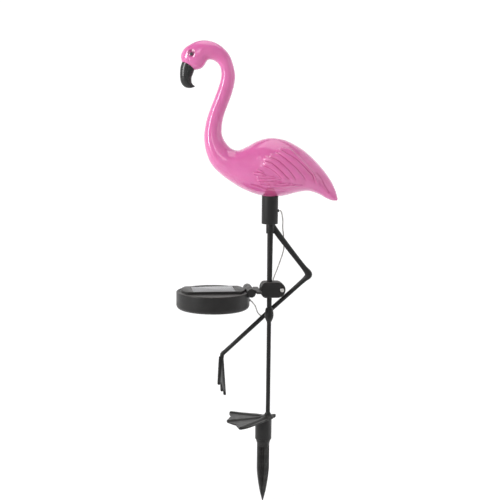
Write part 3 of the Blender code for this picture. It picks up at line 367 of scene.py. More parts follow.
def makeSpotGroup():
    # A round spot on both flanks: 1 within the radius of a point in the XZ plane, with a soft rim.
    inputs = {"Place": None, "Centre X": 0.0, "Centre Z": 0.0, "Radius": 2 * mm, "Rim": 0.2 * mm}
    group, given, result = newGroup("roundSpot", inputs, ["Mask"])
    place = split(group, given["Place"])
    x = math2(group, "SUBTRACT", place["X"], given["Centre X"])
    z = math2(group, "SUBTRACT", place["Z"], given["Centre Z"])
    squares = math2(group, "ADD", math2(group, "MULTIPLY", x, x), math2(group, "MULTIPLY", z, z))
    inside = math2(group, "SUBTRACT", given["Radius"], math2(group, "SQRT", squares))
    group.links.new(math2(group, "DIVIDE", inside, given["Rim"], True), result["Mask"])
    return group


grainGroup, wearAndHighlightGroup, dustGroup, spotGroup = (
    makeGrainGroup(), makeWearAndHighlightGroup(), makeDustGroup(), makeSpotGroup()
)
print("shader groups ready")


# Materials


def startMaterial(name):
    # The material, its tree, its shader, and the object's own coordinates and normal.
    material = bpy.data.materials.new(name)
    material.use_nodes = True
    tree = material.node_tree
    return material, tree, tree.nodes["Principled BSDF"], addNode(tree, "ShaderNodeTexCoord").outputs


def placeGroup(tree, group, inputs):
    return addNode(tree, "ShaderNodeGroup", {"node_tree": group}, inputs).outputs


def placeGrain(tree, where, size, depth, rippleSize, rippleDepth):
    return placeGroup(tree, grainGroup, {
        "Place": where["Object"], "Grain Size": size, "Grain Depth": depth,
        "Ripple Size": rippleSize, "Ripple Depth": rippleDepth,
    })


def wearAndHighlightMask(tree, where, amount, patch=3.0):
    inputs = {"Place": where["Object"], "Patch Size": patch, "Amount": amount}
    return placeGroup(tree, wearAndHighlightGroup, inputs)["Mask"]


def dustMask(tree, where, amount):
    inputs = {"Place": where["Object"], "Facing": where["Normal"], "Amount": amount}
    return placeGroup(tree, dustGroup, inputs)["Mask"]


def mottled(tree, grain, values):
    # Runs from the first value to the second as the ripples' noise goes from 0.3 to 0.7.
    return mapRange(tree, grain["Mottle"], 0.3, 0.7, *values)


def bumpFrom(tree, grain, distance):
    values = {"Height": grain["Height"], "Distance": distance, "Strength": 1.0}
    return addNode(tree, "ShaderNodeBump", {}, values).outputs["Normal"]


# The lighter edge colour of each black stands for rubbed wear together with a painted highlight.
blackPlastics = {
    "legBlack": {
        "colour": (0.0062, 0.0060, 0.0060, 1), "pale": (0.0120, 0.0115, 0.0112, 1),
        "wornAndHighlighted": (0.055, 0.053, 0.051, 1),
        "roughness": (0.30, 0.42), "grain": (0.45, 0.35), "ripple": (7.0, 0.55), "depth": 0.00005,
        "wear": 0.45, "dust": 0.20, "coat": 0.0,
    },
    "socketBlack": {
        "colour": (0.0066, 0.0064, 0.0063, 1), "pale": (0.0125, 0.0120, 0.0116, 1),
        "wornAndHighlighted": (0.05, 0.049, 0.048, 1),
        "roughness": (0.40, 0.52), "grain": (0.30, 0.7), "ripple": (11.0, 0.3), "depth": 0.00006,
        "wear": 0.5, "dust": 0.15, "coat": 0.0,
    },
    "panelBlack": {
        "colour": (0.0085, 0.0080, 0.0078, 1), "pale": (0.0150, 0.0142, 0.0138, 1),
        "wornAndHighlighted": (0.065, 0.060, 0.058, 1),
        "roughness": (0.36, 0.47), "grain": (0.28, 0.6), "ripple": (14.0, 0.35), "depth": 0.00006,
        "wear": 0.5, "dust": 0.45, "coat": 0.0,
    },
    "clampBlack": {
        "colour": (0.0075, 0.0071, 0.0070, 1), "pale": (0.0135, 0.0130, 0.0126, 1),
        "wornAndHighlighted": (0.07, 0.066, 0.063, 1),
        "roughness": (0.38, 0.50), "grain": (0.30, 0.7), "ripple": (8.0, 0.4), "depth": 0.00006,
        "wear": 0.7, "dust": 0.40, "coat": 0.0,
    },
    "beakBlack": {
        "colour": (0.0065, 0.0070, 0.0068, 1), "pale": (0.0140, 0.0150, 0.0145, 1),
        "wornAndHighlighted": (0.05, 0.05, 0.05, 1),
        "roughness": (0.24, 0.34), "grain": (0.8, 0.2), "ripple": (6.0, 0.8), "depth": 0.00007,
        "wear": 0.2, "dust": 0.10, "coat": 0.35,
    },
    "plateBlack": {
        "colour": (0.012, 0.0115, 0.011, 1), "pale": (0.020, 0.019, 0.0185, 1),
        "wornAndHighlighted": (0.08, 0.077, 0.075, 1),
        "roughness": (0.34, 0.46), "grain": (0.35, 0.5), "ripple": (18.0, 0.25), "depth": 0.00004,
        "wear": 0.5, "dust": 0.3, "coat": 0.0,
    },
}
dustColour = (0.42, 0.40, 0.37, 1)


def makeBlackPlastic(name, values):
    # Black ABS: two near tones in slow mottles, rounded edges lightened as rubbed wear and as a
    # painted highlight, and dust where it faces up.
    material, tree, shader, where = startMaterial(name)
    grain = placeGrain(tree, where, *values["grain"], *values["ripple"])
    dust = dustMask(tree, where, values["dust"])
    colour = mixColour(tree, grain["Mottle"], values["colour"], values["pale"])
    # Rounded edges lighter: rubbed wear together with a painted highlight.
    colour = mixColour(tree, wearAndHighlightMask(tree, where, values["wear"]), colour, values["wornAndHighlighted"])
    colour = mixColour(tree, dust, colour, dustColour)
    rough = mottled(tree, grain, values["roughness"])
    fillInputs(tree, shader, {
        "Base Color": colour,
        "Roughness": math2(tree, "ADD", rough, math2(tree, "MULTIPLY", dust, 0.5), True),
        "Normal": bumpFrom(tree, grain, values["depth"]),
        "IOR": 1.5, "Specular IOR Level": 0.32, "Coat Weight": values["coat"], "Coat Roughness": 0.08,
    })
    return material


shellFinish = {
    "pink": (0.690, 0.150, 0.395, 1),
    "deep": (0.560, 0.085, 0.275, 1),
    # Painted shade: a deeper pink along the grooves between the feathers.
    "groove": (0.480, 0.040, 0.190, 1),
    # Painted shade in the eye's socket.
    "eyeSocketShade": (0.270, 0.014, 0.110, 1),
    # Painted shade of the lamp's cone, as if seen darker through the belly above the seat.
    "cone": (0.500, 0.060, 0.190, 1),
    "coneShare": 0.75,
    "coneHeight": 11 * mm,
    "coneHalfWidths": (9.8 * mm, 4.2 * mm),
    "coneSide": (-0.5 * mm, 1.2 * mm),
    "coneTop": (12.5 * mm, 9.5 * mm),
    # Painted shade in the eye's socket: a ring set this far above the pupil, this many pupil radii wide, at
    # this share.
    "socketShadeRise": 1.2 * mm,
    "socketShadeSize": 2.5,
    "socketShadeShare": 0.9,
    "pupil": (0.014, 0.003, 0.016, 1),
    "roughness": (0.16, 0.26),
    "pupilRoughness": 0.30,
    "coat": 0.8,
    "rippleDepth": 0.00012,
}


def makeShellPink(values, eye, eyeRadius):
    # Blow-moulded pink plastic that lets some light through, with a clear gloss. Painted shade
    # turns the grooves between the feathers a deeper pink, and the painted shade of the lamp's cone,
    # as if seen through the belly, darkens it above the seat. The eye is painted, with painted shade
    # in its socket round the pupil. The cone's shade is where the distance from its middle is less
    # than a half width that falls evenly with height.
    material, tree, shader, where = startMaterial("shellPink")
    grain = placeGrain(tree, where, 1.2, 0.10, 16.0, 1.0)
    colour = mixColour(
        tree, mapRange(tree, grain["Mottle"], 0.35, 0.75, 0.0, 0.35), values["pink"], values["deep"]
    )
    # Painted shade: the grooves between the feathers, the pressed lines and the mouth's crease turn a deeper
    # pink.
    colour = mixColour(tree, attribute(tree, "grooveShade"), colour, values["groove"])
    # Painted shade of the lamp's cone above the socket's seat, as if seen through the belly.
    place = split(tree, where["Object"])
    up = math2(tree, "SUBTRACT", place["Z"], shellForm["seat"][2])
    halfWidth = mapRange(tree, up, 0.0, values["coneHeight"], *values["coneHalfWidths"])
    off = math2(tree, "ABSOLUTE", math2(tree, "SUBTRACT", place["X"], shellForm["seat"][0]))
    within = mapRange(tree, math2(tree, "SUBTRACT", halfWidth, off), *values["coneSide"], smooth=True)
    below = mapRange(tree, up, *values["coneTop"], smooth=True)
    cone = math2(tree, "MULTIPLY", within, below)
    colour = mixColour(tree, math2(tree, "MULTIPLY", cone, values["coneShare"]), colour, values["cone"])
    # Painted shade in the eye's socket: a darker ring whose middle sits a little above the pupil. The pupil
    # is painted black.
    spot = {"Place": where["Object"], "Centre X": eye[0]}
    socketShade = placeGroup(tree, spotGroup, {
        **spot, "Centre Z": eye[1] + values["socketShadeRise"], "Radius": eyeRadius * values["socketShadeSize"],
        "Rim": 1.8 * mm,
    })
    pupil = placeGroup(
        tree, spotGroup, {**spot, "Centre Z": eye[1], "Radius": eyeRadius, "Rim": 0.3 * mm}
    )["Mask"]
    colour = mixColour(
        tree, math2(tree, "MULTIPLY", socketShade["Mask"], values["socketShadeShare"]), colour, values["eyeSocketShade"]
    )
    rougher = math2(tree, "MULTIPLY", pupil, values["pupilRoughness"])
    fillInputs(tree, shader, {
        "Base Color": mixColour(tree, pupil, colour, values["pupil"]),
        "Roughness": math2(tree, "ADD", mottled(tree, grain, values["roughness"]), rougher),
        "Coat Weight": math2(tree, "MULTIPLY", math2(tree, "SUBTRACT", 1.0, pupil), values["coat"]),
        "Normal": bumpFrom(tree, grain, values["rippleDepth"]),
        "IOR": 1.5, "Coat Roughness": 0.05,
        "Subsurface Weight": 0.25, "Subsurface Radius": (0.004, 0.0012, 0.0022), "Subsurface Scale": 1.0,
    })
    return material


steelFinish = {
    "colours": ((0.62, 0.61, 0.58, 1), (0.80, 0.79, 0.77, 1)),
    "rubbed": (0.35, 0.33, 0.30, 1),
    "wear": 0.6,
    "roughness": (0.22, 0.38),
}
cordFinish = {
    "colours": ((0.40, 0.39, 0.37, 1), (0.60, 0.58, 0.55, 1)),
    "stain": (0.30, 0.29, 0.28, 1),
    "stainShare": 0.3,
    "roughness": 0.6,
}
resinFinish = {"colours": ((0.98, 0.96, 0.90, 1), (0.92, 0.88, 0.76, 1)), "clearness": 0.9, "roughness": 0.08}


def makeSteel(values):
    # Bright zinc plate with fine turning marks round the screw's axis.
    material, tree, shader, where = startMaterial("screwSteel")
    grain = placeGrain(tree, where, 0.15, 0.6, 2.0, 0.4)
    colour = mixColour(tree, grain["Mottle"], *values["colours"])
    fillInputs(tree, shader, {
        "Base Color": mixColour(tree, wearAndHighlightMask(tree, where, values["wear"], 0.8), colour, values["rubbed"]),
        "Roughness": mottled(tree, grain, values["roughness"]),
        "Normal": bumpFrom(tree, grain, 0.02 * mm),
        "Metallic": 1.0,
    })
    return material


def makeCablePvc(values):
    # Clear grey PVC over two stranded wires, whose twist shows as a slow paler band along it.
    material, tree, shader, where = startMaterial("cablePvc")
    grain = placeGrain(tree, where, 0.25, 0.3, 3.0, 0.5)
    band = math2(tree, "MULTIPLY", math2(tree, "ADD", attribute(tree, "twist"), 1.0), 0.5, True)
    colour = mixColour(tree, band, *values["colours"])
    stain = math2(tree, "MULTIPLY", grain["Mottle"], values["stainShare"])
    fillInputs(tree, shader, {
        "Base Color": mixColour(tree, stain, colour, values["stain"]),
        "Roughness": math2(tree, "MULTIPLY", grain["Mottle"], values["roughness"]),
        "Normal": bumpFrom(tree, grain, 0.03 * mm),
        "IOR": 1.53, "Coat Weight": 0.3, "Coat Roughness": 0.1,
    })
    return material


cellFinish = {
    "silicon": (0.010, 0.013, 0.030, 1),
    "siliconPale": (0.020, 0.024, 0.040, 1),
    "finger": (0.30, 0.30, 0.31, 1),
    "border": (0.010, 0.010, 0.010, 1),
    "fingerPitch": 1.55 * mm,
    "fingerWidth": 0.14 * mm,
    "busPitch": 10.0 * mm,
    "busWidth": 0.7 * mm,
    "cellPitch": 12.0 * mm,
    "partingWidth": 0.5 * mm,
    "borderWidth": 1.3 * mm,
}


def makeSolarCell(values, centre, heading, halfLength, halfWidth):
    # Dark silicon under clear resin: fine silver fingers across it, wider bus bars along it, thin
    # parting lines between its cells, and a black border.
    material, tree, shader, where = startMaterial("solarCell")
    moved = addNode(tree, "ShaderNodeMapping", {"vector_type": "TEXTURE"}, {
        "Vector": where["Object"], "Location": (centre[0], centre[1], 0), "Rotation": (0, 0, heading),
    })
    place = split(tree, moved.outputs[0])
    x, y = place["X"], place["Y"]

    def line(value, pitch, width):
        # 1 on a line of the given width that repeats at the pitch.
        share = math2(tree, "FRACT", math2(tree, "DIVIDE", value, pitch))
        away = math2(tree, "ABSOLUTE", math2(tree, "SUBTRACT", share, 0.5))
        return math2(tree, "LESS_THAN", away, width / pitch / 2)

    def beyond(value, limit):
        return math2(tree, "GREATER_THAN", math2(tree, "ABSOLUTE", value), limit)

    grain = placeGrain(tree, where, 0.9, 0.3, 12.0, 0.6)
    colour = mixColour(tree, grain["Mottle"], values["silicon"], values["siliconPale"])
    fingers = math2(tree, "MULTIPLY", line(x, values["fingerPitch"], values["fingerWidth"]), 0.7)
    colour = mixColour(tree, fingers, colour, values["finger"])
    colour = mixColour(tree, line(y, values["busPitch"], values["busWidth"]), colour, values["finger"])
    parting = line(
        math2(tree, "ADD", x, values["cellPitch"] / 2), values["cellPitch"], values["partingWidth"]
    )
    colour = mixColour(tree, parting, colour, values["border"])
    border = values["borderWidth"]
    rim = math2(tree, "MAXIMUM", beyond(x, halfLength - border), beyond(y, halfWidth - border))
    colour = mixColour(tree, rim, colour, values["border"])
    dust = dustMask(tree, where, 0.25)
    fillInputs(tree, shader, {
        "Base Color": mixColour(tree, dust, colour, dustColour),
        "Roughness": math2(tree, "ADD", 0.06, math2(tree, "MULTIPLY", dust, 0.6), True),
        "Normal": bumpFrom(tree, grain, 0.02 * mm),
        "IOR": 1.5, "Coat Weight": 0.1, "Coat Roughness": 0.05,
    })
    return material


def makeClearResin(values):
    material, tree, shader, where = startMaterial("clearResin")
    grain = placeGrain(tree, where, 0.5, 0.2, 2.0, 0.4)
    fillInputs(tree, shader, {
        "Base Color": mixColour(tree, grain["Mottle"], *values["colours"]),
        "Normal": bumpFrom(tree, grain, 0.02 * mm),
        "Roughness": values["roughness"], "Transmission Weight": values["clearness"], "IOR": 1.5,
    })
    return material


blacks = {name: makeBlackPlastic(name, values) for name, values in blackPlastics.items()}
steel, cablePvc, clearResin = makeSteel(steelFinish), makeCablePvc(cordFinish), makeClearResin(resinFinish)
print("plain materials ready")


# Placing the pieces on the frame


def settle(piece, node=None, body="root"):
    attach(piece, body)
    if node:
        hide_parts(node)
    print(piece.name, len(piece.data.polygons), "faces")


def join(piece, operation, surfaces):
    # Each surface is joined to the piece (UNION) or taken out of it (DIFFERENCE).
    for surface in surfaces:
        tool = makePiece(piece.name + "Tool", [surface])
        modifier = piece.modifiers.new("join", "BOOLEAN")
        modifier.operation = operation
        modifier.solver = "EXACT"
        modifier.object = tool
        graph = bpy.context.evaluated_depsgraph_get()
        graph.update()
        made = bpy.data.meshes.new_from_object(piece.evaluated_get(graph))
        piece.modifiers.clear()
        spent, piece.data = piece.data, made
        made.name = piece.name
        bpy.data.meshes.remove(spent)
        bpy.data.objects.remove(tool, do_unlink=True)
    shadeSmooth(piece.data)
    # A boolean can leave a face with a doubled corner, which this drops.
    piece.data.validate()


def lieAlongY(surface, x, z):
    # A surface turned about the upright axis, laid so that its axis runs along Y through (x, z).
    points = surface["points"]
    surface["points"] = np.stack([points[:, 0] + x, points[:, 2], z - points[:, 1]], axis=1)
    return surface


def barrelSurface(radius, start, end, x, z, sides=64, easing=0.3 * mm):
    # A round bar along Y, its ends eased by a quarter round.
    corners, edge = roundCorners(
        [(radius * 0.05, start), (radius, start), (radius, end), (radius * 0.05, end)], [0, easing, easing, 0]
    )
    return lieAlongY(turnedSurface(corners, sides, edge=edge), x, z)


def glandSurface(mouth, way, radius, length, lip):
    # A short sleeve with a rounded mouth, whose mouth is where the cable comes out.
    way = np.array(way) / np.linalg.norm(way)
    turn = np.linspace(0, math.pi / 2, 5)
    depth = np.concatenate([[-length, -length / 2], lip * np.sin(turn) - lip])
    radii = np.concatenate([[radius, radius], radius - lip + lip * np.cos(turn)])
    return tubeSurface(np.array(mouth) + depth[:, None] * way, radii, 32)


# Flamingo shell. The drawing is in millimetres, from the middle of the belly's underside. Each row
# is one section from the beak's root to the tail's tip: the point on its upper or back edge, the
# point on its lower or front edge, and half its width.

shellForm = {
    "seat": (-0.7 * mm, 0.0, 268.0 * mm),
    "wall": 1.6,
    "lean": 0.10,
    "crowding": 0.22,
    "rings": ((0, 5, 84), (5, 16, 64), (16, 26, 224), (26, 27, 10)),
    "sides": 200,
    "faceBulge": 2.0,
    "collarDiameter": 18.4 * mm,
    "collarHeight": 6.0 * mm,
    "seamHeight": 0.10,
    "eye": (-92.0, 162.3),
}
sections = (
    (-103.6, 154.0, -88.4, 144.5, 6.4),
    (-104.5, 161.0, -81.6, 146.3, 8.6),
    (-101.0, 168.2, -77.4, 150.4, 10.2),
    (-94.4, 173.2, -75.8, 153.2, 10.8),
    (-85.6, 177.3, -73.6, 156.0, 10.2),
    (-76.0, 178.3, -70.6, 156.5, 9.4),
    (-65.1, 175.7, -67.0, 155.8, 8.8),
    (-55.3, 169.3, -62.5, 153.0, 8.2),
    (-47.7, 159.8, -59.3, 148.3, 7.8),
    (-42.8, 144.2, -58.0, 141.5, 7.6),
    (-42.4, 132.5, -58.8, 133.5, 7.7),
    (-46.2, 116.5, -62.8, 120.3, 8.0),
    (-55.0, 92.2, -72.7, 94.1, 8.5),
    (-57.2, 76.2, -76.8, 76.2, 9.4),
    (-55.7, 67.5, -77.3, 63.3, 10.6),
    (-51.0, 59.7, -74.6, 49.4, 12.4),
    (-45.2, 54.6, -69.3, 37.2, 14.4),
    (-37.6, 53.0, -59.9, 26.8, 16.8),
    (-27.7, 57.1, -46.1, 16.5, 20.4),
    (-15.0, 63.9, -28.2, 6.4, 24.4),
    (-1.1, 67.4, -8.2, 0.2, 26.8),
    (15.2, 65.6, 12.8, 0.0, 26.4),
    (31.6, 58.0, 30.7, 4.5, 23.4),
    (45.7, 47.7, 44.3, 6.3, 19.2),
    (59.4, 33.7, 56.1, 3.3, 14.0),
    (70.2, 19.4, 65.5, -1.7, 8.8),
    (76.3, 7.2, 72.6, -4.3, 4.8),
    (79.2, -2.7, 78.1, -4.6, 1.2),
)
wing = {
    "centre": (-24.5, -6.0),
    # The lines between the long feathers: (angle, radius) about the centre, tip first.
    "grooves": (
        ((36, 46.6), (40, 46.7), (68, 45.8)),
        ((28, 54.6), (36, 52.4), (48, 51.7), (60, 52.4), (68, 51.2)),
        ((26, 60.0), (35, 59.2), (44, 58.6), (55, 58.7), (69, 56.7)),
        ((21, 70.4), (26, 69.4), (34, 67.5), (44, 65.9), (53, 65.1), (62, 65.3), (64, 61.0)),
        ((16, 79.3), (24, 79.3), (28, 77.0), (35, 74.9), (42, 73.5), (51, 71.1), (58, 70.2)),
        ((16, 82.6), (24, 81.6), (30, 80.2), (39, 77.8), (48, 77.2), (53, 77.5), (58, 74.0)),
    ),
    "shoulders": (70, 72, 67, 62, 60),  # degrees where each long feather starts
    "tips": (31, 26, 23, 18, 15),  # and where it has half faded out
    "tipFade": 5.0,
    "lineWidth": 0.5,
    "crest": 1.3,
    "step": 0.6,
    "short": (  # root, tip and half width of the short feathers
        (-16.3, 31.9, -8.1, 29.0, 1.9),
        (-20.1, 28.2, -5.7, 26.0, 2.2),
        (-16.1, 23.9, 5.5, 23.9, 2.3),
        (-14.5, 19.6, 12.8, 22.3, 2.1),
        (-12.4, 16.4, 13.6, 17.9, 1.9),
        (-5.6, 15.0, 26.7, 16.0, 1.8),
        (-4.3, 12.2, 37.3, 14.6, 1.8),
    ),
    "shortCrest": 1.15,
    "creases": (  # lines pressed in: points, width, depth
        (((-22, 14.2), (-14.3, 12.6), (-5.2, 9.0)), 0.9, 0.45),
        (((53.3, 28.4), (59, 21.4), (62.8, 13.2), (68.3, 5.2)), 1.0, 0.5),
    ),
    "tuft": (-14.4, 47.2, 4.0),
}
face = {
    "cheek": ((-80.2, 166.4), (-82.1, 163.5), (-85.5, 161.4), (-88.1, 159), (-90.6, 157), (-95, 155.9)),
    "mouth": ((-95.6, 156.4), (-95.9, 154.4), (-95.5, 152.0)),
    "socket": (-92.1, 163.4, 4.4, 5.0),
    "ball": 2.9,
}


def sectionPoints(rows, turn):
    # An oval round each section, a little wider below its middle, and the outward way at each point.
    back, front, halfWidth = rows[:, None, 0:2], rows[:, None, 2:4], rows[:, None, 4:5]
    up, side = np.cos(turn)[:, None], np.sin(turn)[:, None]
    half = (back - front) / 2
    flat = (back + front) / 2 + half * up
    y = halfWidth * side * (1 - shellForm["lean"] * up)
    out = half / np.linalg.norm(half, axis=2, keepdims=True) ** 2 * up
    out = np.concatenate([out[..., :1], side / halfWidth, out[..., 1:]], axis=2)
    out /= np.linalg.norm(out, axis=2, keepdims=True)
    return np.concatenate([flat[..., :1], y, flat[..., 1:]], axis=2), out


def fromDrawing(points):
    return np.asarray(points) * mm + np.array(shellForm["seat"])


def lineDistance(x, z, line):
    # Distance from each point to a line of straight stretches.
    best = np.full(x.shape, 1e9)
    for (x0, z0), (x1, z1) in zip(line, line[1:]):
        dx, dz = x1 - x0, z1 - z0
        t = np.clip(((x - x0) * dx + (z - z0) * dz) / (dx * dx + dz * dz), 0, 1)
        best = np.minimum(best, np.hypot(x - x0 - t * dx, z - z0 - t * dz))
    return best


def wingRelief(x, z):
    # Each long feather is a flat-topped dome between two grooves that run round the wing's centre:
    # 1 less the 4th power of the distance from its spine in half widths. It starts in a round
    # shoulder and fades out past its tip. The short feathers are narrow leaves. The highest one
    # shows at each point, and the lines beside them are also given, for the painted shade in the
    # grooves.
    cx, cz = wing["centre"]
    radius, angle = np.hypot(x - cx, z - cz), np.degrees(np.arctan2(z - cz, x - cx))
    grooves = [np.interp(angle, *np.array(groove).T) for groove in wing["grooves"]]
    height, cover, lines = np.zeros_like(x), np.zeros_like(x), np.zeros_like(x)
    for inner, outer, first, last in zip(grooves, grooves[1:], wing["shoulders"], wing["tips"]):
        half = np.maximum((outer - inner) / 2, 0.8)
        across = (radius - (inner + outer) / 2) / half
        pastShoulder = np.clip(np.radians(angle - first) * radius / half + 1, 0, None)
        off = np.hypot(across, pastShoulder)
        fade = ease(angle, last - wing["tipFade"], last + wing["tipFade"])
        rise = wing["crest"] * (0.8 + 0.2 * across) * np.clip(1 - off**4, 0, 1) * fade
        height = np.maximum(height, rise)
        cover = np.maximum(cover, ease(-off, -1.5, -1.0) * fade)
        lines = np.maximum(
            lines, 0.8 * np.exp(-(((off - 1.04) / 0.10) ** 2)) * ease(angle, first - 9, first - 2)
        )
    for line, groove in zip(wing["grooves"], grooves):
        low, high = line[0][0], line[-1][0]
        run = ease(angle, low - 2, low + 6) * (1 - ease(angle, high, high + 3))
        lines = np.maximum(lines, np.exp(-(((radius - groove) / wing["lineWidth"]) ** 2)) * run)
    for x0, z0, x1, z1, half in wing["short"]:
        length = math.hypot(x1 - x0, z1 - z0)
        dx, dz = (x1 - x0) / length, (z1 - z0) / length
        ahead = ((x - x0) * dx + (z - z0) * dz) / length
        off = np.abs(-(x - x0) * dz + (z - z0) * dx)
        leaf = half * np.clip(4 * ahead * (1 - ahead), 0, 1) ** 0.45
        leaf = leaf * (1 - 0.35 * np.clip(ahead, 0, 1)) + 1e-6
        height = np.maximum(height, wing["shortCrest"] * np.clip(1 - (off / leaf) ** 2.4, 0, 1))
        inside = (ahead > 0) & (ahead < 1)
        lines = np.maximum(lines, 0.65 * np.exp(-(((off / leaf - 1.0) / 0.20) ** 2)) * inside)
    return height, cover, lines


def shellRelief(x, z, side):
    # All relief on the flank, in millimetres: feathers, pressed lines, tuft, eye and cheek. Side is
    # the outward way's share along Y, which fades the relief out where the body turns away.
    feathers, cover, lines = wingRelief(x, z)
    flank = ease(np.abs(side), 0.12, 0.45)
    height = (feathers + wing["step"] * cover) * flank
    grooveShade = lines * flank
    for line, width, depth in wing["creases"]:
        press = np.exp(-((lineDistance(x, z, line) / width) ** 2)) * flank
        height, grooveShade = height - depth * press, np.maximum(grooveShade, 0.7 * press)
    tx, tz, size = wing["tuft"]
    away, way = np.hypot(x - tx, z - tz), np.arctan2(z - tz, x - tx)
    height += 0.8 * np.clip(1 - away / size, 0, 1) * (0.55 + 0.45 * np.cos(6 * way)) * flank
    cheek = lineDistance(x, z, face["cheek"])
    height += 0.35 * np.exp(-((cheek / 0.9) ** 2)) * flank
    mouth = np.exp(-((lineDistance(x, z, face["mouth"]) / 0.7) ** 2)) * flank
    ex, ez, rx, rz = face["socket"]
    pit = 1 - ease(np.hypot((x - ex) / rx, (z - ez) / rz), 0.45, 1.1)
    ball = np.hypot(x - shellForm["eye"][0], z - shellForm["eye"][1]) / face["ball"]
    height += (-0.4 * mouth - 1.0 * pit + 0.8 * np.sqrt(np.clip(1 - ball**2, 0, 1))) * (np.abs(side) > 0.3)
    # The second value marks the grooves, pressed lines and mouth's crease for their painted shade.
    return height, np.maximum(grooveShade, 0.5 * mouth)


def bulgedFace(rings, turn, share, depth):
    # The face between shell and beak is bowed towards the head on both flanks, by the bulge times
    # the sine squared of the turn, and the rings near it follow in their share.
    half = np.array(sections[0][0:2]) - np.array(sections[0][2:4])
    into = np.array([-half[1], half[0]]) / np.linalg.norm(half)
    into = into if into[1] > 0 else -into
    move = shellForm["faceBulge"] * np.sin(turn) ** 2 * share + depth
    rings[..., 0] += move * into[0]
    rings[..., 2] += move * into[1]
    return rings


def makeShell(material):
    turn = np.arange(shellForm["sides"]) * tau / shellForm["sides"]
    turn = turn + shellForm["crowding"] * np.sin(2 * turn)
    at = np.concatenate([np.linspace(a, b, n, endpoint=False) for a, b, n in shellForm["rings"]] + [[27.0]])
    points, out = sectionPoints(readPath(sections, at), turn)
    height, grooveShade = shellRelief(points[..., 0], points[..., 2], out[..., 1])
    seam = shellForm["seamHeight"] * np.exp(-((points[..., 1] / 0.35) ** 2))
    seam *= ease(at, 0.2, 1.0)[:, None] * (1 - ease(at, 26.5, 27.0))[:, None]
    fade = (1 - ease(at, 25.6, 26.6))[:, None] * ease(at, 0.0, 0.3)[:, None]
    outer = points + out * (height * fade + seam)[..., None]
    outer = bulgedFace(outer, turn[None, :], (1 - ease(at, 0.0, 1.6))[:, None], 0.0)
    shrink = np.array([0.1, 0.4, 0.75, 0.97])
    root, _ = sectionPoints(readPath(sections, np.zeros(1)), turn)
    middle = root.mean(axis=1, keepdims=True)
    faceRings = middle + (root - middle) * shrink[:, None, None]
    faceRings = bulgedFace(faceRings, turn[None, :], shrink[:, None] ** 2, 0.0)
    rings = np.concatenate([faceRings, outer])
    skin = surfaceOf(fromDrawing(rings), flip=True)
    grooveShadeAll = np.concatenate([np.zeros((4, len(turn))), grooveShade * fade]).reshape(-1)
    wallRows = readPath(sections, np.linspace(1.0, 24.6, 120))
    across = wallRows[:, 0:2] - wallRows[:, 2:4]
    inward = across / np.linalg.norm(across, axis=1)[:, None] * shellForm["wall"]
    wallRows[:, 0:2] -= inward
    wallRows[:, 2:4] += inward
    wallRows[:, 4] -= shellForm["wall"]
    inner, _ = sectionPoints(wallRows, np.arange(56) * tau / 56)
    lining = surfaceOf(fromDrawing(inner))
    piece = makePiece("flamingoShell", [skin, lining], material)
    # Where the shell's material paints shade in the grooves.
    markPoints(piece.data, "grooveShade", np.concatenate([grooveShadeAll, np.zeros(len(lining["points"]))]))
    seatX, _, seatZ = shellForm["seat"]
    base, gap = seatZ + touchGap, touchGap
    radius, top = shellForm["collarDiameter"] / 2, base + shellForm["collarHeight"]
    collar, edge = roundCorners(
        [(core, base), (radius, base), (radius, top), (core, top)], [0, 0.3 * mm, 0, 0]
    )
    join(piece, "UNION", [turnedSurface(collar, 96, (seatX, 0), edge)])
    spigot, tip = socketForm["spigotDiameter"] / 2 + gap, socketForm["tipDiameter"] / 2 + gap
    recess = [
        (spigot, seatZ - 2 * mm), (spigot, seatZ + 1 * mm), (tip, seatZ + socketForm["spigotLength"] + gap)
    ]
    join(piece, "DIFFERENCE", [turnedSurface(recess, 64, (seatX, 0))])
    settle(piece, "flamingo_shell")


beakForm = {
    "inset": 0.03,
    "rows": (
        (-104.9, 148.0, -90.3, 140.6, 6.2),
        (-105.5, 140.7, -92.0, 136.0, 5.9),
        (-105.0, 133.5, -91.9, 131.0, 5.2),
        (-103.1, 128.4, -90.6, 128.4, 4.4),
        (-99.4, 125.1, -89.4, 127.4, 3.2),
        (-95.0, 124.1, -88.4, 126.6, 2.0),
        (-91.2, 124.4, -87.9, 126.0, 0.8),
    ),
    "gape": ((-96.2, 149.0), (-97.0, 143.0), (-96.2, 137.5), (-94.2, 132.0), (-91.5, 128.2)),
    "gapeWidth": 0.45,
    "gapeDepth": 0.35,
}


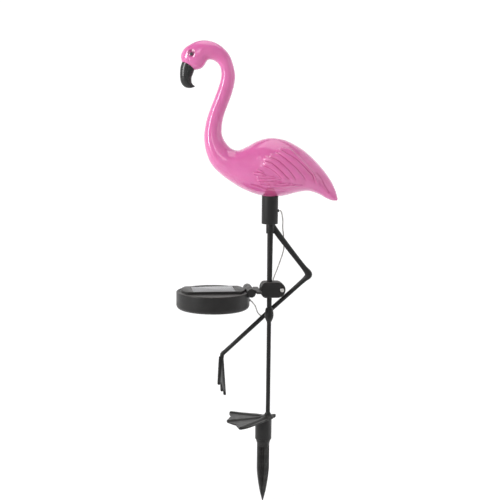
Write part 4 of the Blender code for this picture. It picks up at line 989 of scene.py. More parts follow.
def makeBeak(material):
    # Ovals from the bowed face at the shell down to the hooked tip, with the line of the mouth
    # pressed into both flanks.
    backX, backZ, frontX, frontZ, halfWidth = sections[0]
    inset = beakForm["inset"]
    root = (
        backX + inset * (frontX - backX), backZ + inset * (frontZ - backZ),
        frontX + inset * (backX - frontX), frontZ + inset * (backZ - frontZ), halfWidth * (1 - inset),
    )
    rows = np.array((root, *beakForm["rows"]))
    turn = np.arange(96) * tau / 96
    at = np.concatenate([[0, 0.02, 0.06], np.linspace(0.12, 6.4, 84), np.linspace(6.5, 7, 8)])
    points, out = sectionPoints(readPath(rows, at), turn)
    press = np.exp(
        -((lineDistance(points[..., 0], points[..., 2], beakForm["gape"]) / beakForm["gapeWidth"]) ** 2)
    )
    points += out * (-beakForm["gapeDepth"] * press * ease(np.abs(out[..., 1]), 0.3, 0.6))[..., None]
    end = np.sqrt(np.clip(1 - np.clip((at - 6.6) / 0.42, 0, 1) ** 2, 0.05, 1))
    middle = points.mean(axis=1, keepdims=True)
    points = middle + (points - middle) * end[:, None, None]
    points = bulgedFace(points, turn[None, :], (1 - ease(at, 0.0, 1.6))[:, None], -0.3)
    shrink = np.array([0.1, 0.4, 0.75, 0.95])
    first, _ = sectionPoints(rows[:1], turn)
    centre = first.mean(axis=1, keepdims=True)
    faceRings = centre + (first - centre) * shrink[:, None, None]
    faceRings = bulgedFace(faceRings, turn[None, :], shrink[:, None] ** 2, -0.3)
    edge = np.concatenate([np.zeros(4), [1, 1, 0.4], np.zeros(len(at) - 3)])
    piece = makePiece("beak", [surfaceOf(fromDrawing(np.concatenate([faceRings, points])), edge)], material)
    settle(piece, "beak")


# Lamp socket under the belly, with the leg's seat and the cable's gland

socketForm = {
    "top": 268.0 * mm,
    "length": 32.7 * mm,
    "diameter": 19.2 * mm,
    "offset": -0.7 * mm,
    "edge": 0.8 * mm,
    "spigotDiameter": 15.0 * mm,
    "tipDiameter": 6.4 * mm,
    "spigotLength": 9.0 * mm,
    "spigotStep": 1.0 * mm,
    "seatDepth": 15.0 * mm,
    "seatLead": 0.5 * mm,
    "legDiameter": 6.9 * mm,
    "glandDiameter": 3.2 * mm,
    "glandDrop": 17.2 * mm,
    "ledDiameter": 4.6 * mm,
    "ledHeight": 4.2 * mm,
}


def makeSocket(material, clear):
    form = socketForm
    top, bottom, radius = form["top"], form["top"] - form["length"], form["diameter"] / 2
    spigot, tip, gap = form["spigotDiameter"] / 2, form["tipDiameter"] / 2, touchGap
    base = top + form["spigotLength"] - gap
    corners = [
        (core, bottom), (radius, bottom), (radius, top), (spigot, top),
        (spigot, top + form["spigotStep"] - gap), (tip, base), (core, base),
    ]
    profile, edge = roundCorners(corners, [0, form["edge"], 0.35 * mm, 0.2 * mm, 0.3 * mm, 0.5 * mm, 0])
    piece = makePiece("lampSocket", [turnedSurface(profile, 128, (form["offset"], 0), edge)], material)
    seat = form["legDiameter"] / 2 + gap
    lead = form["seatLead"]
    profile = [
        (seat + lead, bottom - 1 * mm), (seat + lead, bottom), (seat, bottom + lead),
        (seat, bottom + form["seatDepth"]),
    ]
    join(piece, "DIFFERENCE", [turnedSurface(profile, 64)])
    mouth = (form["offset"] + radius + 1.3 * mm, 0, top - form["glandDrop"])
    join(piece, "UNION", [glandSurface(mouth, (1, 0, 0), form["glandDiameter"] / 2, 2.8 * mm, 0.4 * mm)])
    settle(piece, "lamp_socket")
    led = form["ledDiameter"] / 2
    dome = np.linspace(0, math.pi / 2 * 0.97, 10)
    profile = [
        (0.2 * mm, base + gap), (led * 1.15, base + gap), (led * 1.15, base + 1 * mm), (led, base + 1 * mm)
    ]
    profile += [(led * math.cos(t), base + form["ledHeight"] - led + led * math.sin(t)) for t in dome]
    lamp = makePiece("lampLed", [turnedSurface(profile, 40, (form["offset"], 0))], clear)
    settle(lamp)


# Standing leg

legForm = {
    "topDiameter": 6.9 * mm,
    "endDiameter": 5.6 * mm,
    "lowerDiameter": 5.0 * mm,
    "kneeHeight": 126.2 * mm,
    "kneeLength": 17.2 * mm,
    "kneeDiameter": 10.6 * mm,
    "kneeSeat": 14.0 * mm,
    "kneeLip": 0.9 * mm,
    "chamfer": 0.3 * mm,
    "seam": 0.07 * mm,
    "sides": 64,
}
kneeTop = legForm["kneeHeight"] + legForm["kneeLength"] / 2
socketBottom = socketForm["top"] - socketForm["length"]


def legRadius(height):
    share = np.clip((height - kneeTop) / (socketBottom - kneeTop), 0, 1)
    return (legForm["endDiameter"] + share * (legForm["topDiameter"] - legForm["endDiameter"])) / 2


def addSeam(surface, height):
    # The mould's parting line stands up along both sides, where the surface crosses Y = 0.
    points = surface["points"]
    reach = np.hypot(points[:, 0], points[:, 1])
    lift = height * np.exp(-((points[:, 1] / (0.25 * mm)) ** 2)) / np.maximum(reach, 1 * mm)
    points[:, :2] *= 1 + lift[:, None]
    return surface


def makeUpperLeg(material):
    start, end = kneeTop - legForm["kneeSeat"] + touchGap, socketBottom + socketForm["seatDepth"] - touchGap
    heights = np.linspace(start, end, 60)
    radii = legRadius(heights)
    profile = np.stack([radii, heights], axis=1)
    profile = np.vstack([[radii[0] * 0.9, start], profile, [radii[-1] * 0.9, end]])
    profile[1, 1] += legForm["chamfer"]
    profile[-2, 1] -= legForm["chamfer"]
    edge = np.zeros(len(profile))
    edge[[0, -1]] = 1
    piece = makePiece(
        "upperLeg", [addSeam(turnedSurface(profile, legForm["sides"], edge=edge), legForm["seam"])], material
    )
    settle(piece, "upper_leg")


footForm = {
    "web": 1.6 * mm,
    "ridgeHeight": 1.6 * mm,
    "ridgeWidth": 7.4 * mm,
    "reach": 60.0 * mm,
    "flareHeight": 6.6 * mm,
    "flareSpread": 2.2 * mm,
    "toes": (160.0, 202.5, 235.5, 36.0),
    "ferruleDiameter": 19.8 * mm,
    "ferruleLength": 25.0 * mm,
    "ferruleOffset": 5.6 * mm,
    "ferruleEdge": 1.2 * mm,
    "heading": math.radians(202.0),
    "boreDiameter": 13.0 * mm,
    "boreLength": 18.0 * mm,
}
footOutline = (
    (0, 0.115), (36, 0.205), (62, 0.13), (100, 0.14), (124, 0.21), (145, 0.45), (154, 0.72), (160, 0.825),
    (166, 0.80), (177, 0.74), (190, 0.80), (199, 0.87), (203, 0.885), (208, 0.87), (221, 0.84), (230, 0.92),
    (236, 1.0), (240, 0.88), (246, 0.50), (257, 0.27), (276, 0.165), (305, 0.12), (335, 0.115), (360, 0.115),
)
# The web's rounded edge: millimetres past the outline, share of the height, and the edge value
# for wear and the painted highlight.
footRim = (
    (-0.9, 0.0, 0), (-0.3, 0.0, 0.5), (0.0, 0.28, 1), (0.0, 0.55, 1), (-0.25, 0.8, 1), (-0.7, 0.96, 0.6),
    (-1.2, 1.0, 0.2),
)
ferrulePlace = tuple(footForm["ferruleOffset"] * f(footForm["heading"]) for f in (math.cos, math.sin))


def footHeight(x, y):
    # The web's upper face: a flat web, a soft ridge along each toe with slight knuckles, and
    # a flare that falls off exponentially from the leg.
    away = np.hypot(x, y)
    height = np.full_like(away, footForm["web"])
    for toe in footForm["toes"]:
        c, s = math.cos(math.radians(toe)), math.sin(math.radians(toe))
        ahead, off = x * c + y * s, np.abs(-x * s + y * c)
        ridge = np.clip(1 - (off / (footForm["ridgeWidth"] / 2)) ** 2, 0, 1) ** 1.3
        knuckle = 1 + 0.10 * np.cos(ahead / (7.0 * mm))
        height = height + footForm["ridgeHeight"] * ridge * knuckle * (ahead > 0) * ease(away, 0.003, 0.009)
    leg = legForm["lowerDiameter"] / 2
    return height + footForm["flareHeight"] * np.exp(-np.clip(away - leg, 0, None) / footForm["flareSpread"])


def makeStandingFoot(material):
    # One moulding: the lower leg with the knee cup at its top, the webbed foot and the ferrule.
    leg, knee, half = legForm["lowerDiameter"] / 2, legForm["kneeDiameter"] / 2, legForm["kneeLength"] / 2
    seat = legForm["endDiameter"] / 2 + touchGap
    mouth, middle = seat + legForm["kneeLip"], legForm["kneeHeight"]
    heights = np.linspace(0.8 * mm, middle - half, 30)
    share = np.linspace(-1, 1, 41)[1:]
    bulge = np.where(share < 0, leg, mouth)
    bulge = bulge + (knee - bulge) * np.cos(share * math.pi / 2)
    floor = kneeTop - legForm["kneeSeat"]
    profile = [(leg, z) for z in heights] + list(zip(bulge, middle + share * half))
    profile[-1] = (mouth - 0.15 * mm, kneeTop)
    profile += [(seat + 0.15 * mm, kneeTop), (seat, kneeTop - 0.2 * mm), (seat, floor), (0.3 * mm, floor)]
    piece = makePiece(
        "standingFoot", [addSeam(turnedSurface(profile, legForm["sides"]), legForm["seam"])], material
    )
    degrees = np.arange(1440) / 4
    reach = np.interp(degrees, *np.array(footOutline).T) * footForm["reach"]
    spread = np.exp(-((np.minimum(degrees, 360 - degrees) / 1.6) ** 2))
    reach = np.real(np.fft.ifft(np.fft.fft(reach) * np.fft.fft(spread / spread.sum())))
    turn = np.radians(
        np.concatenate([np.arange(0, 140, 2.0), np.arange(140, 250, 0.6), np.arange(250, 360, 2.0)])
    )
    edge = np.interp(np.degrees(turn), degrees, reach)
    rings, wornAndHighlighted = [], []
    inner = leg * 0.8
    steps = [(edge + back * mm, lift, wear) for back, lift, wear in footRim]
    steps += [(inner + (edge - 1.2 * mm - inner) * share, 1.0, 0) for share in np.linspace(0.97, 0.0, 54)]
    for reach, lift, wear in steps:
        x, y = reach * np.cos(turn), reach * np.sin(turn)
        rings.append(np.stack([x, y, footHeight(x, y) * lift], axis=1))
        wornAndHighlighted.append(wear)
    web = surfaceOf(rings, wornAndHighlighted)
    radius = footForm["ferruleDiameter"] / 2
    bore, end = footForm["boreDiameter"] / 2 + touchGap, -footForm["ferruleLength"]
    deep, top = end + footForm["boreLength"], 0.8 * mm
    corners = [
        (0.3 * mm, deep), (bore, deep), (bore, end), (radius, end), (radius, top / 2),
        (radius - footForm["ferruleEdge"], top), (0.3 * mm, top),
    ]
    profile, wear = roundCorners(corners, [0, 0.2 * mm, 0.2 * mm, footForm["ferruleEdge"], 0, 0, 0])
    join(piece, "UNION", [web, turnedSurface(profile, 128, ferrulePlace, wear)])
    settle(piece, "lower_leg_and_foot")


# Ground stake

stakeForm = {
    "length": 77.6 * mm,
    "width": 15.2 * mm,
    "blade": 4.2 * mm,
    "neck": 4.5 * mm,
    "taperStart": 0.46,
    "spigotDiameter": 13.0 * mm,
    "spigotLength": 18.0 * mm,
    "turn": math.radians(28.0),
}


def makeStake(material):
    # Four blades in a cross that narrow to a point, under a cone and a spigot in the ferrule.
    top, half = -footForm["ferruleLength"] - touchGap, stakeForm["width"] / 2
    spigot, neck = stakeForm["spigotDiameter"] / 2, stakeForm["neck"]
    foot, end = top - neck - 4 * mm, top + stakeForm["spigotLength"] - 0.6 * mm
    corners = [
        (core, foot), (half * 0.80, foot), (half * 0.97, top - neck - 3.2 * mm), (half, top - neck),
        (footForm["ferruleDiameter"] / 2 - 0.9 * mm, top), (spigot, top), (spigot, end), (core, end),
    ]
    profile, wornAndHighlighted = roundCorners(corners, [0, 0.5 * mm, 0.5 * mm, 0.6 * mm, 0.4 * mm, 0.1 * mm, 0.8 * mm, 0])
    piece = makePiece("groundStake", [turnedSurface(profile, 96, ferrulePlace, wornAndHighlighted)], material)
    rings = []
    length = stakeForm["length"] - touchGap
    for share in np.concatenate([np.linspace(0.08, 0.96, 40), [0.975, 0.99, 1.0]]):
        taper = max(share - stakeForm["taperStart"], 0) / (1 - stakeForm["taperStart"])
        reach = half * (1 - 0.95 * taper**1.45)
        thick = min(stakeForm["blade"] / 2, reach * 0.62)
        corners = []
        for quarter in range(4):
            way = stakeForm["turn"] + quarter * math.pi / 2
            for ahead, off in ((thick, -thick), (reach, -thick), (reach, thick)):
                x = ahead * math.cos(way) - off * math.sin(way)
                corners.append((x, ahead * math.sin(way) + off * math.cos(way)))
        soft = [0.35 * reach * 0.3, thick * 0.35, thick * 0.35] * 4
        outline, wear = roundCorners(corners, soft, 4, True)
        outline = outline + np.array(ferrulePlace)
        rings.append(np.column_stack([outline, np.full(len(outline), top - length * share)]))
    blades = surfaceOf(rings[::-1])
    blades["edge"] = np.tile(wear, len(rings))
    join(piece, "UNION", [blades])
    settle(piece, "ground_stake")


# Raised leg

raisedForm = {
    "collarDiameter": 9.8 * mm,
    "collarHeight": 11.0 * mm,
    "thigh": 7.0 * mm,
    "shin": 5.3 * mm,
    "ankle": 5.0 * mm,
    "clearance": 0.5 * mm,
    "footLength": 48.0 * mm,
    "toeSpread": 19.0 * mm,
    "ankleSpread": 2.0 * mm,
    "toeRelief": 1.6 * mm,
    "web": 1.6 * mm,
    "nearToe": 0.36,
    "drift": 0.104,
    "fold": 0.145,
    "foldNear": 0.030,
}
# Along X and up from the standing knee in shares of the span from knee to socket, back in shares
# of the shin's way past the knee cup, and the radius in thighs, shins or ankles.
raisedRoute = (
    (0.0055, 0.24, 1.0018, "thigh", 1), (0.0532, 0.28, 0.9331, "thigh", 1),
    (0.1027, 0.36, 0.8643, "thigh", 1), (0.2035, 0.53, 0.7333, "thigh", 0.93),
    (0.3162, 0.69, 0.5894, "thigh", 0.89), (0.3776, 0.76, 0.5124, "thigh", 0.94),
    (0.4198, 0.78, 0.4583, "thigh", 1.20), (0.4207, 0.79, 0.4271, "thigh", 1.18),
    (0.3804, 0.82, 0.3859, "shin", 1.14), (0.3025, 0.85, 0.3126, "shin", 1.02),
    (0.1457, 0.92, 0.1650, "shin", 1), (0.0, 1.00, 0.0284, "shin", 1), (-0.1027, 1.04, -0.0715, "shin", 1),
    (-0.3025, 1.09, -0.2631, "shin", 0.96), (-0.4583, 1.11, -0.4125, "ankle", 1),
    (-0.5060, 1.11, -0.4583, "ankle", 1.06), (-0.5120, 1.11, -0.4950, "ankle", 0.94),
    (-0.5160, 1.11, -0.5340, "ankle", 0.84),
)


def hangingWeb(ankleEnd):
    # A web edge on to the front, swept down from the ankle. Three toes thicken it on both faces,
    # each a bell curve across it, and the web folds back from the middle toe in a soft V.
    form = raisedForm
    start = ankleEnd + (0, 0, form["ankle"])
    across = np.linspace(-1, 1, 81)
    rings = []
    for share in np.concatenate([np.linspace(0, 0.95, 44), [0.97, 0.985, 0.995, 1.0]]):
        spread = form["ankleSpread"] + (form["toeSpread"] - form["ankleSpread"]) * share**0.9
        toe = np.exp(-((across / 0.16) ** 2)) + np.exp(-(((np.abs(across) - 0.88) / 0.14) ** 2))
        between = 1 - 0.14 * (1 - toe) * ease(share, 0.55, 0.9)
        webEnd = between * (1 - form["nearToe"] * ease(-across, 0.3, 0.8))
        thick = form["web"] / 2 + form["toeRelief"] * toe * (1 - 0.45 * share)
        thick = thick * np.sqrt(np.clip(1 - ((np.abs(across) - 0.93) / 0.07).clip(0, 1) ** 2, 0.03, 1))
        thick = thick * math.sqrt(max(1 - max((share - 0.96) / 0.04, 0) ** 2, 0.03))
        side = spread * across
        folded = form["fold"] * np.hypot(across, 0.12) - form["foldNear"] * across
        folded = folded * spread / form["toeSpread"]
        x = start[0] + form["footLength"] * (form["drift"] * share - folded)
        z = start[2] - form["footLength"] * share * webEnd
        front = np.stack([x - thick, start[1] + side, z], axis=1)
        back = np.stack([x + thick, start[1] + side, z], axis=1)[::-1]
        rings.append(np.vstack([front, back]))
    return surfaceOf(rings[::-1], flip=True)


def makeRaisedLeg(material):
    # One moulding: a collar round the standing leg, the thigh, the knee, the shin behind the
    # standing leg's knee cup, and the webbed foot that hangs from the ankle.
    form, gap = raisedForm, touchGap
    top, span = socketBottom - gap, socketBottom - legForm["kneeHeight"]
    behind = legForm["kneeDiameter"] / 2 + form["shin"] / 2 + form["clearance"]
    route = np.array([
        (x * span, y * behind, legForm["kneeHeight"] + z * span, form[part] / 2 * size)
        for x, y, z, part, size in raisedRoute
    ])
    rows = smoothPath(route, 145)
    piece = makePiece("raisedLeg", [tubeSurface(rows[:, :3], rows[:, 3], 40, True)], material)
    radius, bottom = form["collarDiameter"] / 2, top - form["collarHeight"]
    profile, wornAndHighlighted = roundCorners(
        [(0.3 * mm, bottom), (radius, bottom), (radius, top), (0.3 * mm, top)], [0, 0.6 * mm, 0.3 * mm, 0]
    )
    join(piece, "UNION", [turnedSurface(profile, 80, edge=wornAndHighlighted), hangingWeb(rows[-1, :3])])
    wide = np.array([(-8, -8), (8, -8), (8, 8), (-8, 8)]) * mm
    bore = [(form["thigh"] / 2 + 0.25 * mm, bottom - 5 * mm), (form["thigh"] / 2 + 0.25 * mm, top + 5 * mm)]
    join(piece, "DIFFERENCE", [extrudedSurface(wide, top, top + 8 * mm, "z"), turnedSurface(bore, 64)])
    settle(piece, "raised_leg")


# Solar panel and clamp, drawn with the hinge along Y and turned to their heading about the leg

clampForm = {
    "heading": math.radians(7.7),
    "height": 18.6 * mm,
    "aboveKnee": 13.3 * mm,
    "outerReach": 18.2 * mm,
    "innerReach": 11.0 * mm,
    "halfDepth": 8.0 * mm,
    "corner": 7.2 * mm,
    "split": 0.6 * mm,
    "easing": 0.7 * mm,
    "tongueWidth": 37.0 * mm,
    "tongueThickness": 2.8 * mm,
    "screwReach": 13.9 * mm,
    "headDiameter": 4.8 * mm,
    "headHeight": 1.4 * mm,
    "shankDiameter": 2.4 * mm,
    "screwLength": 13.0 * mm,
    "sink": 0.6 * mm,
    "slotWidth": 0.64 * mm,
    "slotDepth": 0.7 * mm,
    "slotTurn": 20,
}
hingeForm = {
    "drop": 1.3 * mm,
    "reach": 24.0 * mm,
    "length": 40.0 * mm,
    "diameter": 10.2 * mm,
    "lug": 12.5 * mm,
    "pin": 3.2 * mm,
    "pinLength": 6.0 * mm,
    "play": 0.8 * mm,
}
panelForm = {
    "diameter": 86.2 * mm,
    "height": 20.8 * mm,
    "rim": 3.0 * mm,
    "lidDrop": 0.3 * mm,
    "baseRounding": 5.2 * mm,
    "edge": 2.2 * mm,
    "plate": 1.4 * mm,
    "bandRadius": 37.4 * mm,
    "bandHalfWidth": 20.4 * mm,
    "bandHeight": 2.6 * mm,
    "cellLength": 50.0 * mm,
    "cellWidth": 38.4 * mm,
    "cellThickness": 1.0 * mm,
    "cellSink": 0.15 * mm,
    "sides": 192,
}
clampBottom = kneeTop + clampForm["aboveKnee"]
clampMiddle = clampBottom + clampForm["height"] / 2
hingeHeight = clampMiddle - hingeForm["drop"]
hingeX = -hingeForm["reach"]
panelX = hingeX - panelForm["diameter"] / 2
panelTop = hingeHeight
glandMouth = (hingeX + 1.4 * mm, 3.0 * mm, hingeHeight - 12.5 * mm)
glandWay = (0.90, 0.10, -0.42)


def turnPiece(piece):
    points = np.empty(len(piece.data.vertices) * 3)
    piece.data.vertices.foreach_get("co", points)
    turned = turnedAbout({"points": points.reshape(-1, 3)}, clampForm["heading"])["points"]
    piece.data.vertices.foreach_set("co", turned.reshape(-1))
    piece.data.update()


def roundedBox(x, halfX, halfY, corner):
    corners = [(x - halfX, -halfY), (x + halfX, -halfY), (x + halfX, halfY), (x - halfX, halfY)]
    return roundCorners(corners, corner, 6, True)[0]


def makePanelHousing(material):
    form = panelForm
    radius, rounding = form["diameter"] / 2, form["baseRounding"]
    bottom = panelTop - form["height"]
    floor = panelTop - form["lidDrop"] - form["plate"] - touchGap
    wall = radius - form["rim"]
    quarter = np.linspace(0, math.pi / 2, 9)
    base = [
        (radius - rounding + rounding * math.sin(t), bottom + rounding * (1 - math.cos(t))) for t in quarter
    ]
    rim, wear = roundCorners(
        [(radius, panelTop - 3 * mm), (radius, panelTop), (wall, panelTop), (wall, floor), (core, floor)],
        [0, form["edge"], 0.4 * mm, 0.2 * mm, 0], 6,
    )
    profile = np.vstack([[(core, bottom)], base, rim])
    edge = np.concatenate([np.zeros(1 + len(base)), wear])
    piece = makePiece("panelHousing", [turnedSurface(profile, form["sides"], (panelX, 0), edge)], material)
    barrel = hingeForm["diameter"] / 2
    lugEnd, lugStart = hingeForm["length"] / 2, hingeForm["length"] / 2 - hingeForm["lug"]
    under, above = hingeHeight - barrel + 0.2 * mm, hingeHeight - 0.2 * mm
    root = hingeX - barrel - 3.5 * mm
    web = [(root, under), (hingeX, under), (hingeX, above), (root, above)]
    for start, end in ((-lugEnd, -lugStart), (lugStart, lugEnd)):
        join(piece, "UNION", [
            barrelSurface(barrel, start, end, hingeX, hingeHeight),
            extrudedSurface(web, start + 0.2 * mm, end - 0.2 * mm, "y", 0.3 * mm),
        ])
    pinReach = lugStart + hingeForm["pinLength"] + touchGap
    # The cut runs a hair past the rim's wall and floor, so that no two faces lie in one plane.
    hair = 0.02 * mm
    cutFloor, cutWall, cutTop = floor - hair, wall + hair, panelTop + 0.1 * mm
    inside = [(1 * mm, cutFloor), (cutWall, cutFloor), (cutWall, cutTop), (1 * mm, cutTop)]
    join(piece, "DIFFERENCE", [
        turnedSurface(inside, form["sides"], (panelX, 0)),
        barrelSurface(barrel + hingeForm["play"], -lugStart, lugStart, hingeX, hingeHeight, 64, 0.05 * mm),
        barrelSurface(hingeForm["pin"] / 2 + touchGap, -pinReach, pinReach, hingeX, hingeHeight, 32),
    ])
    join(piece, "UNION", [glandSurface(glandMouth, glandWay, 1.6 * mm, 2.8 * mm, 0.4 * mm)])
    turnPiece(piece)
    settle(piece, "panel_housing", "panel")


def makeTopPlate(material):
    # The round lid inside the rim. A raised band runs straight across it, with ends that follow
    # the rim, and the cell's window is cut in the band. The hinge's middle barrel notches the lid.
    form, gap = panelForm, touchGap
    top, radius = panelTop - form["lidDrop"], form["diameter"] / 2 - form["rim"] - gap
    corners = [(core, top - form["plate"]), (radius, top - form["plate"]), (radius, top), (core, top)]
    profile, wear = roundCorners(corners, [0, 0.2 * mm, 0.3 * mm, 0])
    piece = makePiece("panelTopPlate", [turnedSurface(profile, form["sides"], (panelX, 0), wear)], material)
    bandTop = panelTop + form["bandHeight"]
    reach = math.asin(form["bandHalfWidth"] / form["bandRadius"])
    turns = np.concatenate(
        [np.linspace(-reach, reach, 25), np.linspace(math.pi - reach, math.pi + reach, 25)]
    )
    outline = form["bandRadius"] * np.stack([np.cos(turns), np.sin(turns)], axis=1) + (panelX, 0)
    halfX, halfY = form["cellLength"] / 2 + gap, form["cellWidth"] / 2 + gap
    floor = bandTop - form["cellSink"] - form["cellThickness"] - gap
    window = extrudedSurface(roundedBox(panelX, halfX, halfY, 0.6 * mm), floor, bandTop + 3 * mm, "z")
    middle = hingeForm["length"] / 2 - hingeForm["lug"]
    notch = barrelSurface(
        hingeForm["diameter"] / 2 + hingeForm["play"], -middle, middle, hingeX, hingeHeight, 64, 0.05 * mm
    )
    join(piece, "UNION", [extrudedSurface(outline, top - 0.5 * mm, bandTop, "z", 0.5 * mm)])
    join(piece, "DIFFERENCE", [window, notch])
    turnPiece(piece)
    settle(piece, "panel_top_plate", "panel")


def makeCell(material):
    form = panelForm
    top = panelTop + form["bandHeight"] - form["cellSink"]
    outline = roundedBox(panelX, form["cellLength"] / 2, form["cellWidth"] / 2, 0.8 * mm)
    surface = extrudedSurface(outline, top - form["cellThickness"], top, "z", 0.25 * mm, 4)
    piece = makePiece("solarCell", [surface], material)
    turnPiece(piece)
    settle(piece, "solar_cell", "panel")


def clampOutline():
    # A plate with a fully rounded right end and rounded left corners.
    form = clampForm
    half, corner = form["height"] / 2, form["corner"]
    right, flat = form["outerReach"] - half, 0.8 * corner
    turn = np.radians(np.linspace(-90, 90, 40))
    points = [(right + half * math.cos(a), half * math.sin(a)) for a in turn]
    left = -form["innerReach"] + flat
    for sign, start in ((1, 90), (-1, 180)):
        for a in np.radians(np.linspace(start, start + 90, 16)):
            points.append((left + flat * math.cos(a), sign * (half - corner) + corner * math.sin(a)))
    return np.array(points) + (0, clampMiddle)


def legGroove():
    # The leg's bore, cut through both halves of the clamp.
    top = clampBottom + clampForm["height"]
    radius = legRadius(top) + touchGap
    return turnedSurface([(radius, clampBottom - 3 * mm), (radius, top + 3 * mm)], 64)


def screwHole(diameter, start, end, sides, easing=0.3 * mm):
    radius = clampForm[diameter] / 2 + touchGap
    return barrelSurface(radius, start, end, clampForm["screwReach"], clampMiddle, sides, easing)


def clampHalf(name, start, end, material):
    return makePiece(
        name, [extrudedSurface(clampOutline(), start, end, "y", clampForm["easing"], 5)], material
    )


def makeClampBracket(material):
    # The back half of the clamp, the wide tongue and the middle barrel of the hinge.
    form, gap = clampForm, clampForm["split"] / 2
    piece = clampHalf("clampBracket", gap, form["halfDepth"], material)
    wide, middle = form["tongueWidth"] / 2, hingeForm["length"] / 2 - hingeForm["lug"] - 0.5 * mm
    shoulder, corner = hingeX + hingeForm["diameter"] / 2 + 1.2 * mm, -form["innerReach"] - 0.4 * mm
    root, back = -form["innerReach"] + 6 * mm, form["halfDepth"] - 1 * mm
    corners = [
        (hingeX, -middle), (shoulder, -middle), (shoulder, -wide), (corner, -wide), (corner, gap),
        (root, gap), (root, back), (corner, back), (corner, wide), (shoulder, wide), (shoulder, middle),
        (hingeX, middle),
    ]
    soft = np.array([0, 0.5, 0.8, 1.2, 0.3, 0, 0, 0.5, 1.2, 0.8, 0.5, 0]) * mm
    outline, _ = roundCorners(corners, soft, 5, True)
    thick = form["tongueThickness"] / 2
    tongue = extrudedSurface(outline, hingeHeight - thick, hingeHeight + thick, "z", 0.4 * mm, 4)
    reach = hingeForm["length"] / 2 - hingeForm["lug"] + hingeForm["pinLength"]
    join(piece, "UNION", [
        tongue,
        barrelSurface(hingeForm["diameter"] / 2, -middle, middle, hingeX, hingeHeight),
        barrelSurface(hingeForm["pin"] / 2, -reach, reach, hingeX, hingeHeight, 32),
    ])
    holeEnd = form["screwLength"] - form["halfDepth"] + touchGap
    join(piece, "DIFFERENCE", [legGroove(), screwHole("shankDiameter", -3 * mm, holeEnd, 32)])
    turnPiece(piece)
    settle(piece, "clamp_bracket")


def makeClampPlate(material):
    form, gap = clampForm, clampForm["split"] / 2
    front = -form["halfDepth"]
    piece = clampHalf("clampPlate", front, -gap, material)
    join(piece, "DIFFERENCE", [
        legGroove(),
        screwHole("shankDiameter", front - 3 * mm, 3 * mm, 32),
        screwHole("headDiameter", front - 3 * mm, front + form["sink"], 64, 0.1 * mm),
    ])
    turnPiece(piece)
    settle(piece, "clamp_plate")


def makeScrew(material):
    # A pan head whose face is slightly domed, with a cross slot, and its shank.
    form = clampForm
    seat = -form["halfDepth"] + form["sink"] - touchGap
    face, head, shank = seat - form["headHeight"], form["headDiameter"] / 2, form["shankDiameter"] / 2
    end = -form["halfDepth"] + form["screwLength"]
    corners = [
        (0.1 * mm, face), (head * 0.80, face + 0.06 * mm), (head, face + 0.5 * mm), (head, seat),
        (shank, seat), (shank, end), (0.1 * mm, end),
    ]
    profile, wear = roundCorners(corners, [0, 0.5 * mm, 0.3 * mm, 0.1 * mm, 0, 0.3 * mm, 0], 5)
    turned = lieAlongY(turnedSurface(profile, 64, edge=wear), form["screwReach"], clampMiddle)
    piece = makePiece("clampScrew", [turned], material)
    reach, half = head * 0.58, form["slotWidth"] / 2
    slot = ((-reach, -half), (reach, -half), (reach, half), (-reach, half))
    for turn in (form["slotTurn"], form["slotTurn"] + 90):
        c, s = math.cos(math.radians(turn)), math.sin(math.radians(turn))
        outline = [(a * c - b * s + form["screwReach"], a * s + b * c + clampMiddle) for a, b in slot]
        join(piece, "DIFFERENCE", [extrudedSurface(outline, face - 2 * mm, face + form["slotDepth"], "y")])
    turnPiece(piece)
    settle(piece, "clamp_screw")


# Cable from the socket, down behind the leg, round a loop and into the panel's underside

cableForm = {
    "diameter": 1.5 * mm,
    "lead": 1.2 * mm,
    "twist": 9.0 * mm,
    "rings": 340,
    "route": (
        (0.0128, 0.0006, 0.2494), (0.0141, 0.0030, 0.2445), (0.0149, 0.0058, 0.2380),
        (0.0150, 0.0079, 0.2290), (0.0160, 0.0092, 0.2210), (0.0167, 0.0102, 0.2064),
        (0.0154, 0.0104, 0.1989), (0.0128, 0.0102, 0.1907), (0.0089, 0.0100, 0.1796),
        (0.0058, 0.0104, 0.1713), (0.0040, 0.0108, 0.1650), (0.0030, 0.0110, 0.1570),
        (0.0022, 0.0112, 0.1470), (0.0012, 0.0124, 0.1385), (-0.0004, 0.0135, 0.1300),
        (-0.0030, 0.0138, 0.1245), (-0.0065, 0.0130, 0.1222), (-0.0103, 0.0112, 0.1236),
        (-0.0134, 0.0088, 0.1272), (-0.0151, 0.0066, 0.1317), (-0.0167, 0.0044, 0.1362),
        (-0.0192, 0.0014, 0.1402),
    ),
}


def makeCable(material):
    # A round cord along a smooth curve through the route, drawn as rings at even steps of length.
    side = socketForm["offset"] + socketForm["diameter"] / 2 + 1.6 * mm
    start = np.array([side, 0, socketForm["top"] - socketForm["glandDrop"]])
    mouth = np.array(glandMouth)
    ahead = mouth + cableForm["lead"] * np.array(glandWay)
    ends = turnedAbout({"points": np.array([ahead, mouth])}, clampForm["heading"])["points"]
    points = np.vstack([start, start + (cableForm["lead"], 0, 0), cableForm["route"], ends])
    fine = smoothPath(points, 4000)
    length = np.append(0, np.cumsum(np.linalg.norm(np.diff(fine, axis=0), axis=1)))
    even = np.linspace(0, length[-1], cableForm["rings"])
    path = np.stack([np.interp(even, length, fine[:, k]) for k in range(3)], axis=1)
    surface = tubeSurface(path, cableForm["diameter"] / 2, 20)
    piece = makePiece("panelCable", [surface], material)
    around = np.arange(20) / 20
    twist = np.sin(tau * (around[None, :] + even[:, None] / cableForm["twist"]))
    markPoints(piece.data, "twist", twist)
    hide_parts("lamp_cable", "panel_cable")
    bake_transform(piece)
    print("cable", round(float(length[-1]) * 1000, 1), "mm")


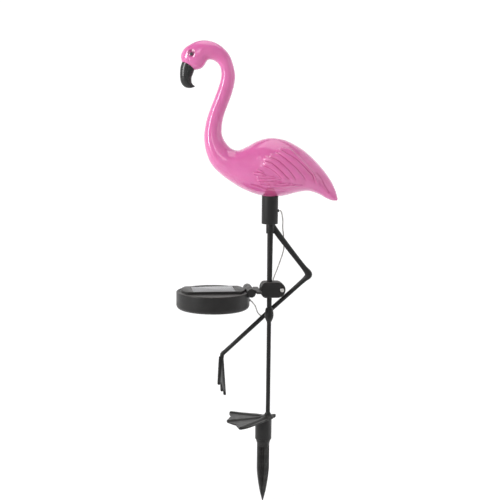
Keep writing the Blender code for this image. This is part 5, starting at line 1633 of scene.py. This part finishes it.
makeCamera(camera)
makeCable(cablePvc)
eye = fromDrawing((shellForm["eye"][0], 0, shellForm["eye"][1]))
makeShell(makeShellPink(shellFinish, (eye[0], eye[2]), 2.1 * mm))
makeBeak(blacks["beakBlack"])
makeSocket(blacks["socketBlack"], clearResin)
makeUpperLeg(blacks["legBlack"])
makeStandingFoot(blacks["legBlack"])
makeStake(blacks["legBlack"])
makeRaisedLeg(blacks["legBlack"])
makePanelHousing(blacks["panelBlack"])
makeTopPlate(blacks["plateBlack"])
heading = clampForm["heading"]
cellCentre = (panelX * math.cos(heading), panelX * math.sin(heading))
cellHalves = (panelForm["cellLength"] / 2, panelForm["cellWidth"] / 2)
makeCell(makeSolarCell(cellFinish, cellCentre, heading, *cellHalves))
makeClampBracket(blacks["clampBlack"])
makeClampPlate(blacks["clampBlack"])
makeScrew(steel)


# Stage: a round white studio bowl, and soft lights

stageForm = {
    "floor": -103.5 * mm,
    "radius": 1.8,
    "wall": 2.6,
    "corner": 0.8,
    "colour": (0.62, 0.62, 0.625, 1),
    "shade": (0.60, 0.60, 0.60, 1),
    "glow": 0.50,
    "frontShare": 0.14,
}
lights = {
    "keySoftbox": {"place": (-1.25, -0.75, 0.75), "size": (0.30, 1.1), "watts": 14},
    "fillSoftbox": {"place": (-0.25, -1.5, 0.95), "size": (0.35, 0.7), "watts": 1.8},
    "overheadSoftbox": {"place": (0.1, 0.1, 1.7), "size": (1.2, 1.2), "watts": 8},
    "rightSoftbox": {"place": (1.2, -0.5, 0.6), "size": (0.4, 1.0), "watts": 1.5},
}
aim = (0.0, 0.0, 0.2)
airGlow = 0.16


def makeStage(values):
    profile = [(0.01, values["floor"])] + [
        (
            values["radius"] - values["corner"] * (1 - math.sin(t)),
            values["floor"] + values["corner"] * (1 - math.cos(t))
        )
        for t in np.linspace(0, math.pi / 2, 16)
    ] + [(values["radius"], values["floor"] + values["wall"])]
    rings = turnedSurface(profile, 96)["points"].reshape(len(profile), 96, 3)
    material, tree, shader, where = startMaterial("studioPaper")
    grain = placeGrain(tree, where, 2.0, 0.5, 400.0, 0.5)
    lit = mapRange(tree, split(tree, where["Object"])["Y"], -0.5, 0.0, values["frontShare"], 1.0, smooth=True)
    fillInputs(tree, shader, {
        "Base Color": mixColour(tree, grain["Mottle"], values["colour"], values["shade"]),
        "Emission Color": addNode(tree, "ShaderNodeCombineColor", {}, {0: lit, 1: lit, 2: lit}).outputs[0],
        "Roughness": 0.9, "Emission Strength": values["glow"], "Specular IOR Level": 0.0,
    })
    bowl = makePiece("studioBowl", [surfaceOf(rings, capEnd=False, flip=True)], material)


def makeLights(values):
    for name, light in values.items():
        data = bpy.data.lights.new(name, "AREA")
        data.shape = "RECTANGLE"
        data.size, data.size_y = light["size"]
        data.energy = light["watts"]
        lamp = bpy.data.objects.new(name, data)
        bpy.context.scene.collection.objects.link(lamp)
        way = Vector(aim) - Vector(light["place"])
        lamp.location = light["place"]
        lamp.rotation_euler = way.to_track_quat("-Z", "Y").to_euler()
    world = bpy.data.worlds.new("studioAir")
    bpy.context.scene.world = world
    world.use_nodes = True
    fillInputs(world.node_tree, world.node_tree.nodes["Background"], {0: (1, 1, 1, 1), 1: airGlow})


makeStage(stageForm)
makeLights(lights)
bpy.context.scene.view_settings.view_transform = "Standard"
print("stage and lights ready")
